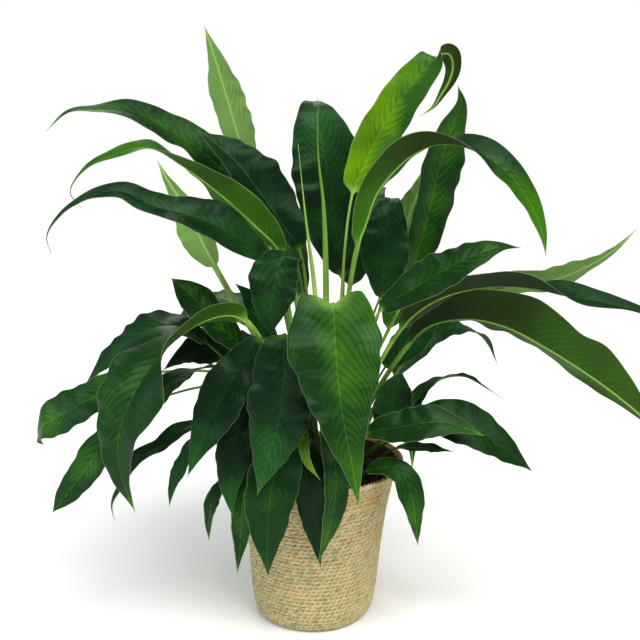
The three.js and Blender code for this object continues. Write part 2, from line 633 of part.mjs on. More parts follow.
function basketGeometry() {
  const outer = [
    [basketFootRadius, 0],
    [basketFootRadius + 11, 0.06 * basketHeight],
    [basketFootRadius + 19, 0.2 * basketHeight],
    [basketBellyRadius, 0.41 * basketHeight],
    [basketBellyRadius + 9, 0.69 * basketHeight],
    [basketBellyRadius + 20, 0.89 * basketHeight],
    [basketRimRadius, basketHeight],
  ];
  const geometry = shell(outer, basketWall, basketSides);
  const position = geometry.getAttribute("position");
  for (let i = 0; i < position.count; i += 1) {
    const x = position.getX(i);
    const z = position.getZ(i);
    position.setX(i, x + basketLean * z);
    position.setZ(i, z + basketRimRise * x * (z / basketHeight) ** 4);
  }
  return geometry;
}

function potGeometry() {
  const foot = basketWall + touchGap;
  const outer = [
    [potFootRadius, foot],
    [potMouthRadius, foot + (1 - potLipShare) * potHeight],
    [potMouthRadius + potLip, foot + (1.01 - potLipShare) * potHeight],
    [potMouthRadius + potLip, foot + potHeight],
  ];
  return shell(outer, potWall, potSides);
}

function soilGeometry(holes) {
  const floor = basketWall + potWall + 2 * touchGap;
  const inset = potWall + touchGap;
  const slope = (potMouthRadius - potFootRadius) / ((1 - potLipShare) * potHeight);
  const bottom = potFootRadius - inset - soilFootInset;
  const top = potFootRadius + slope * (soilLevel - floor) - inset - soilTopInset;
  const profile = [[0, floor], [bottom, floor], [top, soilLevel], [0, soilLevel]];
  const body = new THREE.LatheGeometry(profile.map(([r, z]) => new THREE.Vector2(r, z)), potSides);
  let solid = manifoldOf(body.rotateX(Math.PI / 2));
  holes.forEach((hole) => {
    solid = solid.subtract(manifoldOf(hole));
  });
  return geometryOf(solid);
}

// ---- the object -----------------------------------------------------------------------------------
const group = new THREE.Group();

function add(name, geometry, surface) {
  const mesh = new THREE.Mesh(geometry, surface);
  mesh.name = name;
  group.add(mesh);
}

const shoots = [...leaves, ...spears];
const paths = shoots.map(({ midrib }) => midrib.map((point) => new THREE.Vector3(...point)));
const feet = paths.map(([collar]) => wantedFoot(collar));
spreadFeet(feet);
const lines = paths.map((path, i) => shootLine(feet[i], path, shoots[i].arch));
const holes = shoots.map(({ width }, i) => holeFor(lines[i], footRadiusOf(width) + holeClearance));

add("basket", basketGeometry(), seagrass);
add("grow_pot", potGeometry(), blackPlastic);
add("potting_soil", soilGeometry(holes), pottingSoil);
leaves.forEach((leaf, order) => {
  add(`leaf_${leaf.name}`, leafGeometry(leaf, lines[order], order), leafTones[leaf.tone]);
});
spears.forEach((spear, order) => {
  add(spear.name, spearGeometry(spear, lines[leaves.length + order]), leafTones[spear.tone]);
});

export default group;
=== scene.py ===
import math
import random
from types import SimpleNamespace

import bpy
import numpy as np
from mathutils import Euler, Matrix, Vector


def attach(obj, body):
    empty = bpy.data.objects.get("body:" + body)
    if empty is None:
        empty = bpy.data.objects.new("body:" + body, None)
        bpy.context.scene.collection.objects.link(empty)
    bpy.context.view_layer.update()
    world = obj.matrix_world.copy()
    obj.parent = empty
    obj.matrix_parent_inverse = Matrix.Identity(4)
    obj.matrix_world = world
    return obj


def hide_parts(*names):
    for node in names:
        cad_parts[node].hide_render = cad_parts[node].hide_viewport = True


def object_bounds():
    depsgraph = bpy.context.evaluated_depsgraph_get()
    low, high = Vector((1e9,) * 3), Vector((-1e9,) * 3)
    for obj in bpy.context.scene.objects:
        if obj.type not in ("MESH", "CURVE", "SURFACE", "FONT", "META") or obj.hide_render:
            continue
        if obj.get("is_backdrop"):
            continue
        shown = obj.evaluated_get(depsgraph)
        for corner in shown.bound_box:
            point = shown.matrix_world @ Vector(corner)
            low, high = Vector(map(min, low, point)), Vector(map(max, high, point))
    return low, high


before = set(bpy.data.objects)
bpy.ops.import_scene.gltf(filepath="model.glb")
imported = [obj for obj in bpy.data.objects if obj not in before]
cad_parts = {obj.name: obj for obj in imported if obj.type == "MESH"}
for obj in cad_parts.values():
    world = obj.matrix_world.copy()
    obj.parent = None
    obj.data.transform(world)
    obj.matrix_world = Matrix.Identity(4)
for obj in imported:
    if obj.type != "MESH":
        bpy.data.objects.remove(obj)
cad_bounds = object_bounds()
random.seed(7)
MM = 0.001


def add_object(name, data):
    thing = bpy.data.objects.new(name, data)
    bpy.context.scene.collection.objects.link(thing)
    return thing


# ---- camera ----
camera = add_object("camera", bpy.data.cameras.new("camera"))
camera.location = (0.0125, -1.78, 0.98)
camera.rotation_euler = Euler((math.radians(90 - 13.5), 0, 0))
camera.data.sensor_width = 36
camera.data.lens = 58.39
bpy.context.scene.camera = camera

# ---- driving dimensions ----
BASKET_HEIGHT = 290
BASKET_WALL = 9
BASKET_LEAN = 0.02  # how far the basket leans to the right, per millimetre of height
BASKET_RIM_RISE = 0.035  # the rim's rise to the right, per millimetre of x
BASKET_BAND = 52  # height of the coarser band below the rim
BASKET_PROFILE = [
    (94, 0.5), (101, 3), (107, 10), (112, 24), (117, 60), (121, 119), (130, 200), (141, 258), (159, 290)
]

POT_HEIGHT = 262
POT_FOOT_RADIUS = 88
POT_MOUTH_RADIUS = 117
POT_WALL = 2.5
POT_LIP = 4
POT_LIP_START = 0.9  # where the lip starts, as a share of the pot's height
SOIL_LEVEL = 244
TOUCH_GAP = 0.4

CROWN = np.array([18.0, 0.0])
CROWN_INNER_RADIUS = 12
CROWN_OUTER_RADIUS = 82
PETIOLE_SPACING = 11.5
SPREAD_ROUNDS = 400
SPREAD_PUSH = 0.25  # the share of a shortfall that each foot moves in one round
PETIOLE_SINK = 40
BEND_REACH = 0.36  # how far out towards its collar a petiole's bend is
BEND_RISE = 0.52  # how far towards its collar's height it is, unless a leaf has its own arch
COLLAR_INDEX = 3  # the collar's place among the points of a centre line

BLADE_START = 0.06  # the share of a blade over which it opens out of its petiole
TIP_SHARPNESS = 1.35
TIP_HALF_WIDTH = 0.9
CAMBER = 0.3
MARGIN_WAVE = 0.05  # height of the margin's waves, as a share of the blade's width
MARGIN_WAVES = 2.6
RUFFLE = 0.055  # height of the margin's fine ruffles, as a share of the blade's half width
RUFFLES = 6.1
BILLOW = 0.03  # height of the swells in the middle of each half, as a share of the blade's half width
BILLOWS = 4.3
LEAF_PHASE = 0.37  # how far the waves shift from one leaf to the next
SIDE_PHASE = 0.21  # how far they shift from one side of a blade to the other
WIDTH_WAVES = ((0.035, 11, 2.1), (0.025, 29, 1.3), (0.018, 57, 0.7))  # size, pace, shift by leaf
RIB_HEIGHT = 0.55  # of the midrib under the blade's base, as a share of the petiole's radius
RIB_FADE = 1.5
LOBE_LENGTH = 0.3
SKIN = 0.42  # half of the blade's thickness beside the midrib
SKIN_THINNING = 0.14  # how much thinner that is at the margin
MIDRIB_GROOVE = 0.9  # depth of the groove over the midrib
MIDRIB_GROOVE_WIDTH = 1.6
VEIN_SPACING = 17.0  # between two main side veins, where they leave the midrib
VEIN_SLANT = 1.05  # how far a side vein runs on towards the tip, for each millimetre outwards
VEIN_SWEEP = 0.14  # how much further it runs on beside the margin, as a share of the blade's length
QUILT = 0.9  # depth of the groove over a side vein
QUILT_MEAN = 0.27  # the groove's mean depth, so that grooves and swells keep the blade's middle
SHEATH_END = 0.55  # the share of a petiole that its sheath wraps
SHEATH_SPREAD = 0.35  # how much wider the sheath makes it, as a share of its radius
CHANNEL = 0.35  # depth of the channel along a petiole's front, as a share of its radius

SPEAR_SWELL = 0.3  # how much thicker a spear's middle is, as a share of its width
SPEAR_TIP_RADIUS = 0.5
SPEAR_TURNS = 1.3  # of its outer edge round it

CROWN_SHADE_HEIGHTS = (330, 560)  # painted shade: petioles are painted darkest below the first, and unshaded above the second
WELL_INSIDE = 9  # this far from a blade's margin or midrib, neither shows
STALK_STATIONS = 34
BLADE_STEP = 3.0  # between two stations of a blade
HALF_ACROSS = np.array([0, 0.035, 0.09, 0.18, 0.3, 0.44, 0.58, 0.72, 0.84, 0.94, 1.0])
ACROSS = np.concatenate([-HALF_ACROSS[:0:-1], HALF_ACROSS])

# ---- the leaves ----
LEAVES = []


def grow(name, width, tone, fold, face, midrib, peak=0.4, taper=1.8, bluntness=0.75, lobe=8, stalk=1,
         arch=BEND_RISE, shade=(0, 0, 0), lean=0):
    """Adds a leaf, laid out along its midrib from the top of its petiole to its tip.

    fold: how far each half rises from the midrib, in degrees, or that at the base and at the tip.
    face: directions that the blade's upper side looks in, spread evenly from its base to its tip.
    peak: where along the blade it is widest. taper: the lower, the sooner it narrows to its tip.
    bluntness: below 1 the blade starts round, near 1 as a wedge. lobe: how far its base reaches back.
    stalk: how many times thicker than usual the petiole is where it meets the blade.
    arch: how high the petiole's bend is, as a share of its collar's height above the soil.
    shade: painted light and shade, partly the leaf's own tone: how much lighter it is than others of its
    tone at its base, in its middle and at its tip.
    lean: how much more so it is at its right margin.
    """
    LEAVES.append(SimpleNamespace(**locals()))


grow("tall_left", 72, "pale", 12, [(0.3, 1, 0.2), (0.3, 1, 0.3)],
     [(-119, 138, 799), (-139, 138, 873), (-158, 128, 944), (-175, 116, 1006), (-190, 104, 1057)],
     shade=(0.35, 0.35, 0.5))
grow("arch_left_top", 80, "green", 18, [(0, -0.6, 0.8), (-0.3, -0.5, 0.8)],
     [(-92, 88, 745), (-145, 86, 793), (-200, 76, 844), (-258, 62, 883), (-318, 44, 913), (-372, 28, 915),
      (-415, 14, 912), (-451, 4, 881)],
     peak=0.45, taper=1.3, shade=(-0.35, -0.3, -0.1))
grow("dark_left_back", 104, "dark", 32, [(0.5, -0.8, 0.4), (0.4, -0.75, 0.5), (0, -0.4, 0.8)],
     [(-22, 0, 674), (-55, 12, 724), (-95, 22, 779), (-133, 32, 826), (-174, 42, 860), (-202, 52, 880)],
     peak=0.5, shade=(-0.4, -0.2, 0))
grow("arch_left_lit", 80, "green", (30, 20),
     [(0.39, 0.77, 0.51), (0.39, 0.77, 0.51), (0, -0.5, 0.85), (-0.7, -0.4, 0.5)],
     [(-48, -52, 672), (-99, -72, 735), (-158, -92, 792), (-208, -106, 832), (-259, -112, 861),
      (-320, -106, 848), (-362, -112, 828), (-388, -112, 790), (-372, -110, 765)],
     peak=0.3, taper=1.1, stalk=1.9, shade=(0.35, 0.15, 0.1))
grow("arch_left_low", 84, "dark", 20, [(0, -0.7, 0.7), (0, -0.6, 0.8), (-0.7, -0.5, 0.3)],
     [(-75, -76, 668), (-125, -103, 718), (-190, -121, 752), (-250, -132, 770), (-302, -142, 795),
      (-356, -147, 786), (-396, -150, 760), (-420, -150, 725), (-416, -148, 698)],
     peak=0.3, taper=0.9, shade=(-0.1, -0.1, -0.1))
grow("pale_left_upright", 66, "pale", 28, [(-0.5, 0.85, 0), (-0.3, 0.9, 0.1)],
     [(-172, 16, 645), (-203, 25, 705), (-231, 30, 760), (-256, 30, 802), (-270, 28, 833)],
     peak=0.34, taper=1.1, stalk=2.6, shade=(0.2, 0, -0.2))
grow("tall_centre_dark", 136, "dark", 8, [(0, -1, 0.15), (0, -1, 0.15), (0, -0.9, 0.4), (0, 0.1, 1)],
     [(54, 52, 615), (42, 62, 695), (30, 74, 785), (14, 90, 868), (4, 108, 911), (0, 142, 926),
      (0, 176, 912)],
     peak=0.52, taper=1.6, shade=(-0.3, 0.05, 0.25), lean=0.14)
grow("bright_tall_right", 74, "bright", 14,
     [(0.1, -0.95, 0.3), (0.1, -0.95, 0.3), (0.1, -0.9, 0.4), (0.2, 0.9, 0.1), (0.2, 0.9, 0)],
     [(67, -8, 772), (90, -8, 833), (125, -4, 900), (163, 2, 955), (193, 10, 989), (216, 20, 1007),
      (232, 32, 1006), (239, 42, 986), (234, 46, 963), (222, 48, 941), (207, 47, 919), (185, 44, 904)],
     peak=0.28, taper=1.8, bluntness=0.6, shade=(0.65, -0.3, -0.9), lean=-0.32)
grow("arch_right_top", 76, "green", (46, 14),
     [(-0.63, 0.74, 0.22), (-0.6, 0.75, 0.3), (-0.3, 0.2, 0.9), (0.3, -0.75, 0.6), (0.4, -0.8, 0.4)],
     [(74, -52, 686), (89, -58, 732), (105, -72, 782), (131, -86, 820), (163, -100, 850),
      (198, -112, 866), (230, -122, 866), (261, -130, 855), (294, -136, 835), (326, -140, 804),
      (350, -142, 766), (367, -142, 726), (375, -138, 691)],
     peak=0.42, taper=2.8, stalk=2, shade=(1.1, -0.8, 1.15))
grow("tall_right_ribbed", 80, "green", 22, [(0.42, -0.9, 0), (0.3, -0.9, 0.3)],
     [(172, 70, 592), (193, 75, 674), (212, 80, 745), (226, 80, 817), (243, 75, 878), (258, 70, 925),
      (252, 68, 956)],
     peak=0.5, taper=2.6, shade=(-0.3, -0.1, 0.1))
grow("pale_right_back", 58, "pale", 10, [(0, 1, 0.2), (0, 1, 0.2)],
     [(152, 165, 628), (168, 168, 677), (185, 168, 728), (201, 166, 771), (216, 162, 818)])
grow("dark_right_back", 88, "dark", 10, [(0, -1, 0.15), (0, -1, 0.3), (0, 0.4, 0.8)],
     [(123, 25, 584), (126, 30, 640), (129, 40, 698), (134, 52, 744), (141, 75, 758), (148, 100, 742)],
     peak=0.45)
grow("right_upper", 74, "green", 10, [(-0.1, -0.75, 0.65), (0, -0.6, 0.8)],
     [(110, -130, 598), (158, -140, 635), (205, -145, 666), (252, -145, 690), (300, -140, 706),
      (335, -135, 704)],
     peak=0.45, shade=(-0.6, -0.5, -0.3))
grow("right_long_arch", 82, "green", 25,
     [(0, 0.7, 0.7), (0, 0.6, 0.8), (0, -0.35, 0.95), (0.5, -0.5, 0.6)],
     [(143, -98, 554), (178, -110, 596), (225, -120, 624), (288, -126, 638), (353, -130, 637),
      (418, -132, 623), (488, -130, 610), (553, -126, 590), (594, -118, 555)],
     peak=0.42, stalk=1.6, shade=(-0.3, -1.2, -0.4))
grow("right_broad_droop", 122, "green", (46, 32),
     [(0.1, 0.75, 0.65), (0.25, 0.72, 0.68), (0.4, 0.8, 0.45)],
     [(163, -40, 514), (201, -50, 554), (265, -60, 569), (326, -70, 558), (394, -78, 524),
      (464, -82, 480), (535, -84, 428), (612, -80, 360)],
     peak=0.5, bluntness=0.9, stalk=1.6, shade=(-1.7, 0.2, 0.15))
grow("pale_right", 66, "pale", 8, [(0, 0.8, 0.5), (-0.3, 0.8, 0.5)],
     [(281, 70, 592), (357, 70, 604), (429, 65, 610), (498, 60, 640), (543, 55, 672), (575, 50, 707)],
     peak=0.42, taper=1.4)
grow("dark_right_low", 60, "dark", 8, [(0, -1, 0.3), (0, -1, 0.3)],
     [(128, 0, 465), (155, 0, 498), (189, 0, 535), (220, 0, 566), (245, 5, 589)])
grow("right_small_upright", 70, "dark", 10, [(0, -0.9, 0.3), (0, -0.9, 0.3)],
     [(136, -45, 349), (138, -50, 386), (141, -50, 420), (147, -52, 449), (155, -58, 474)],
     taper=3.4, shade=(-0.2, 0.1, 0.1))
grow("right_thin", 42, "green", 15, [(0.5, -0.6, 0.5), (0, 0.15, 1), (0, 0, 1)],
     [(165, -10, 374), (190, -20, 419), (224, -25, 450), (267, -30, 457), (304, -35, 438),
      (338, -35, 416)],
     shade=(-0.3, -0.2, -0.3))
grow("right_low_front", 66, "green", 8, [(0, -0.75, 0.65), (0, -0.7, 0.7)],
     [(90, -115, 381), (147, -125, 398), (205, -130, 408), (250, -130, 400), (288, -128, 383)],
     peak=0.42, shade=(-0.55, -0.4, -0.1))
grow("right_low_back", 84, "green", 12, [(0, -0.7, 0.7), (0.3, -0.7, 0.6)],
     [(151, -75, 378), (210, -85, 400), (278, -95, 382), (334, -98, 345), (381, -95, 305)],
     peak=0.48, shade=(-0.8, -0.65, -0.35))
grow("right_low_sliver", 34, "green", 8, [(0, -0.15, 1), (0, -0.3, 1)],
     [(147, -50, 332), (180, -55, 336), (215, -58, 334), (247, -58, 328)],
     shade=(-0.3, -0.2, -0.1))
grow("rim_right", 48, "green", 10, [(0, -0.5, 0.85), (0.2, -0.8, 0.5), (0.3, -0.9, 0.1)],
     [(90, -110, 312), (122, -128, 328), (151, -140, 320), (168, -150, 277), (175, -150, 231),
      (180, -145, 190)],
     peak=0.45, shade=(-0.3, -0.2, -0.1))
grow("front_heart", 150, "green", 6, [(0, -0.85, 0.5), (0, -0.95, 0.3), (0, -1, 0.1)],
     [(33, -205, 628), (36, -235, 577), (41, -260, 513), (51, -278, 447), (63, -288, 386),
      (73, -292, 324)],
     peak=0.22, taper=1.3, bluntness=0.5, lobe=48, shade=(0.2, -0.05, -0.1), lean=-0.2)
grow("front_dark", 112, "dark", 8, [(-0.1, -0.9, 0.4), (-0.1, -1, 0.1)],
     [(-44, -165, 569), (-46, -200, 505), (-53, -215, 440), (-70, -225, 383), (-88, -232, 320)],
     peak=0.38, bluntness=0.55, shade=(-0.45, -0.15, 0.75))
grow("front_left_dark", 82, "dark", 8, [(-0.2, -0.9, 0.35), (-0.2, -1, 0.1)],
     [(-84, -145, 557), (-116, -165, 512), (-149, -182, 460), (-177, -190, 402), (-204, -194, 336)],
     peak=0.4, shade=(-0.6, -0.45, 0.35))
grow("front_left_behind", 66, "dark", 10, [(-0.1, -0.9, 0.35), (0, -1, 0.1)],
     [(-99, -105, 470), (-114, -132, 421), (-132, -148, 357), (-138, -158, 298), (-135, -160, 250)],
     peak=0.45, shade=(-0.6, -0.45, 0.3))
grow("front_low_bright", 92, "green", 8, [(0, -0.85, 0.5), (0, -1, 0)],
     [(-46, -135, 396), (-57, -172, 357), (-70, -188, 293), (-75, -190, 222), (-75, -184, 151)],
     peak=0.36, shade=(-0.65, -0.5, -0.2))
grow("front_mid_dark", 54, "dark", 10, [(-0.1, -0.9, 0.35), (0, -1, 0)],
     [(-3, -128, 376), (-2, -162, 335), (0, -172, 277), (7, -172, 214), (14, -168, 161)],
     peak=0.42, shade=(-0.7, -0.7, -0.1))
grow("front_mid_right", 46, "green", 14, [(0.3, -0.85, 0.35), (0.3, -0.9, 0)],
     [(16, -140, 394), (36, -178, 359), (39, -188, 311), (31, -188, 254), (9, -180, 176)],
     peak=0.4, shade=(-0.5, -0.35, 0))
grow("front_young", 20, "bright", 20, [(-0.3, -0.9, 0.3), (-0.3, -0.9, 0.1)],
     [(-20, -165, 428), (-14, -200, 400), (-8, -209, 370), (13, -209, 336)])
grow("left_low_hanging", 38, "green", 12, [(-0.2, -0.9, 0.35), (-0.1, -1, 0)],
     [(-113, -125, 310), (-118, -150, 270), (-122, -152, 214), (-130, -146, 139)],
     peak=0.35, shade=(-0.5, -0.45, -0.4))
grow("left_low_curved", 28, "green", 15, [(0, -0.5, 0.85), (-0.6, -0.8, 0)],
     [(-140, -105, 305), (-155, -115, 290), (-170, -122, 268), (-178, -125, 236), (-180, -120, 187)],
     shade=(-0.5, -0.45, -0.4))
grow("left_up_short", 62, "green", 10, [(0.2, -0.8, 0.6), (0.2, -0.8, 0.6), (0, -0.6, 0.8)],
     [(-112, -60, 509), (-144, -68, 545), (-181, -72, 586), (-213, -70, 620), (-238, -62, 640)],
     peak=0.55, taper=3.4, shade=(-0.5, -0.4, -0.1))
grow("left_big_droop", 124, "green", 14,
     [(0, 0.9, 0.35), (-0.1, 0.35, 0.9), (-0.35, -0.7, 0.6), (-0.4, -0.85, 0.3), (-0.5, -0.85, 0)],
     [(-104, -150, 584), (-131, -165, 601), (-171, -185, 596), (-212, -203, 572), (-251, -215, 532),
      (-284, -226, 478), (-306, -232, 414), (-304, -234, 356), (-284, -232, 291)],
     peak=0.46, stalk=1.8, shade=(0.35, -0.42, -0.32), lean=0.12)
grow("left_behind_arch", 84, "dark", 8, [(0, -0.35, 0.95), (-0.5, -0.5, 0.7)],
     [(-180, -58, 525), (-229, -65, 558), (-290, -65, 547), (-348, -60, 503), (-398, -50, 447)],
     peak=0.45)
grow("left_broad", 72, "green", 8, [(0, -0.8, 0.6), (-0.1, -0.8, 0.6), (-0.7, 0.1, -0.2)],
     [(-262, -120, 492), (-311, -130, 482), (-357, -135, 457), (-406, -138, 430), (-450, -130, 403),
      (-467, -110, 376), (-463, -90, 351)],
     peak=0.6, arch=0.85, shade=(-0.3, -0.2, -0.05))
grow("left_lower", 56, "green", 10, [(0, -0.85, 0.5), (-0.3, -0.85, 0.3)],
     [(-268, -145, 448), (-315, -152, 412), (-352, -158, 370), (-393, -160, 315), (-438, -158, 257)],
     peak=0.55, taper=3.2, arch=1, shade=(-0.35, -0.3, -0.15))
grow("left_under", 46, "green", 14, [(0, 0.6, 0.8), (0, -0.4, 0.9), (-0.5, -0.8, 0.3)],
     [(-153, -100, 493), (-199, -130, 497), (-235, -160, 482), (-265, -180, 441), (-302, -190, 387)],
     peak=0.45, arch=0.7, shade=(-0.6, -0.5, -0.4))
grow("left_long_twisted", 37, "dark", 15,
     [(0, -0.6, 0.8), (0, -0.4, 0.9), (-0.6, -0.6, 0.5), (-0.8, -0.5, 0)],
     [(-185, -75, 386), (-228, -90, 380), (-265, -100, 353), (-302, -108, 334), (-329, -112, 288),
      (-346, -114, 254), (-344, -112, 223)],
     peak=0.35, shade=(-0.3, -0.2, -0.2))
grow("left_low_narrow", 28, "dark", 12, [(-0.3, -0.8, 0.4), (-0.5, -0.85, 0)],
     [(-205, -85, 360), (-223, -105, 326), (-240, -115, 289), (-247, -118, 250)])
grow("left_inner_dark", 50, "dark", 8, [(0, -0.5, 0.85), (-0.1, -0.7, 0.7), (-0.4, -0.8, 0.3)],
     [(-98, -37, 396), (-136, -43, 412), (-170, -46, 407), (-190, -43, 380), (-197, -40, 348)],
     peak=0.5, shade=(-0.6, -0.5, -0.3))
grow("left_shaded", 78, "dark", 10, [(0, -0.5, 0.85), (-0.1, -0.75, 0.65), (-0.5, -0.7, 0.5)],
     [(-79, -8, 494), (-128, -14, 507), (-179, -13, 508), (-225, -13, 494), (-265, -20, 466)],
     peak=0.45, shade=(-0.6, -0.4, -0.1))
grow("centre_left_dark", 84, "dark", 8, [(0, -0.2, 1), (-0.1, -0.8, 0.6), (-0.1, -1, 0.2)],
     [(-26, -84, 666), (-42, -108, 686), (-58, -124, 662), (-67, -132, 607), (-68, -128, 554)],
     peak=0.5, shade=(-0.3, -0.2, 0))
grow("left_back_dark", 50, "dark", 8, [(0, -1, 0.3), (0, -1, 0.3)],
     [(-81, 38, 488), (-97, 38, 547), (-116, 38, 588), (-140, 38, 612)])
grow("back_centre", 112, "dark", 14, [(0, -0.6, 0.8), (0, 0.6, 0.8)],
     [(68, 95, 590), (80, 165, 690), (90, 245, 745), (96, 320, 720), (98, 375, 640)])
grow("back_left", 104, "green", 14, [(0.2, -0.6, 0.8), (-0.4, 0.5, 0.8)],
     [(-25, 110, 560), (-65, 185, 665), (-110, 260, 720), (-150, 325, 695), (-175, 370, 625)])
grow("back_low_left", 92, "green", 12, [(0.3, -0.3, 0.9), (-0.6, 0.4, 0.7)],
     [(-70, 100, 470), (-130, 160, 530), (-195, 225, 545), (-250, 285, 505), (-285, 325, 430)])
grow("back_right", 100, "green", 14, [(-0.3, -0.4, 0.9), (0.5, 0.5, 0.8)],
     [(140, 130, 500), (190, 205, 575), (240, 280, 595), (285, 345, 550), (310, 385, 470)])
grow("back_low_right", 84, "dark", 12, [(-0.3, -0.2, 0.9), (0.7, 0.2, 0.7)],
     [(150, 85, 420), (215, 135, 480), (283, 180, 496), (338, 215, 462), (372, 238, 402)])
grow("back_low_centre", 86, "dark", 12, [(0, -0.3, 0.9), (0, 0.8, 0.5)],
     [(40, 130, 420), (50, 200, 475), (58, 270, 480), (64, 330, 430), (66, 365, 350)])
grow("back_hanging_left", 62, "green", 12, [(0, 0.3, 0.9), (-0.4, 0.9, 0.1)],
     [(-45, 130, 360), (-75, 180, 380), (-98, 215, 340), (-110, 228, 270), (-114, 225, 195)])
grow("back_hanging_right", 56, "green", 12, [(0.3, 0.3, 0.9), (0.6, 0.8, 0.1)],
     [(120, 120, 350), (155, 160, 368), (182, 190, 330), (196, 202, 262), (200, 200, 190)])

# The rolled leaves that still stand as spears, from their foot's side to their tip.
SPEARS = [
    SimpleNamespace(name="spear_lime", width=11, tone="bright", arch=BEND_RISE,
                    midrib=[(4, -34, 606), (-12, -32, 740), (-24, -30, 861)]),
    SimpleNamespace(name="spear_green", width=14, tone="green", arch=BEND_RISE,
                    midrib=[(23, 14, 587), (19, 14, 746), (9, 14, 849), (9, 14, 936)]),
]


# ---- material nodes ----
def linear(colour, factor=1.0, added=0.0):
    """A colour given as sRGB numbers from 0 to 255, as the linear colour that a shader takes."""
    parts = [(part * factor + added) / 255 for part in colour]
    return [part / 12.92 if part < 0.04045 else ((part + 0.055) / 1.055) ** 2.4 for part in parts] + [1]


class Shader:
    """A material's node tree, with one short call for each kind of node."""

    def __init__(self, name, **constants):
        self.material = bpy.data.materials.new(name)
        self.material.use_nodes = True
        self.tree = self.material.node_tree
        self.surface = self.tree.nodes["Principled BSDF"]
        for socket, value in constants.items():
            self.surface.inputs[socket.replace("_", " ")].default_value = value

    def put(self, socket, value):
        if isinstance(value, bpy.types.NodeSocket):
            self.tree.links.new(value, socket)
        else:
            socket.default_value = value

    def attribute(self, name):
        node = self.tree.nodes.new("ShaderNodeAttribute")
        node.attribute_name = name
        return node.outputs["Fac"]

    def math(self, operation, *values):
        node = self.tree.nodes.new("ShaderNodeMath")
        node.operation = operation
        for socket, value in zip(node.inputs, values):
            self.put(socket, value)
        return node.outputs[0]

    def scaled(self, value, factor, added=0.0):
        return self.math("MULTIPLY_ADD", value, factor, added)

    def at_least(self, value, low):
        return self.math("MAXIMUM", value, low)

    def at_most(self, value, high):
        return self.math("MINIMUM", value, high)

    def mix(self, share, *colours):
        """A blend of two colours, either of which may be given as sRGB numbers."""
        node = self.tree.nodes.new("ShaderNodeMix")
        node.data_type = "RGBA"
        self.put(node.inputs[0], share)
        for socket, colour in zip(node.inputs[6:8], colours):
            self.put(socket, linear(colour) if isinstance(colour, tuple) else colour)
        return node.outputs[2]

    def span(self, value, low, high, first=0.0, last=1.0):
        """The value's place between low and high, smoothly, as a number from first to last."""
        node = self.tree.nodes.new("ShaderNodeMapRange")
        node.interpolation_type = "SMOOTHSTEP"
        for socket, number in zip(node.inputs, (value, low, high, first, last)):
            self.put(socket, number)
        return node.outputs[0]

    def noise(self, scale, detail, stretch=(1, 1, 1)):
        place = self.tree.nodes.new("ShaderNodeTexCoord")
        mapping = self.tree.nodes.new("ShaderNodeMapping")
        mapping.inputs["Scale"].default_value = stretch
        self.tree.links.new(place.outputs["Object"], mapping.inputs["Vector"])
        node = self.tree.nodes.new("ShaderNodeTexNoise")
        self.tree.links.new(mapping.outputs[0], node.inputs["Vector"])
        node.inputs["Scale"].default_value = scale
        node.inputs["Detail"].default_value = detail
        return node.outputs["Fac"]

    def waves(self, phase, sharpness):
        """One narrow peak per whole number of the phase."""
        turned = self.math("COSINE", self.scaled(phase, 2 * math.pi))
        return self.math("POWER", self.scaled(turned, 0.5, 0.5), sharpness)

    def finish(self, colour, roughness, height, strength, distance):
        """Joins colour, roughness and a bump to the surface."""
        self.put(self.surface.inputs["Base Color"], colour)
        self.put(self.surface.inputs["Roughness"], roughness)
        node = self.tree.nodes.new("ShaderNodeBump")
        node.inputs["Strength"].default_value = strength
        node.inputs["Distance"].default_value = distance
        self.tree.links.new(height, node.inputs["Height"])
        self.tree.links.new(node.outputs[0], self.surface.inputs["Normal"])
        return self.material


GROOVE_DARKENS = 0.17  # painted shade: how much of the darker colour the groove over a side vein takes
SWELL_LIGHTENS = 0.26  # painted highlight: how much lighter the swell between two grooves is than the groove
FINE_VEIN_LIGHTENS = 0.07
# painted shade: how far the hollows between the underside's raised side veins darken
UNDER_RIBS_DARKEN = 0.3
FLECK_SHARE = 0.15
MARGIN_SHARE = 0.5


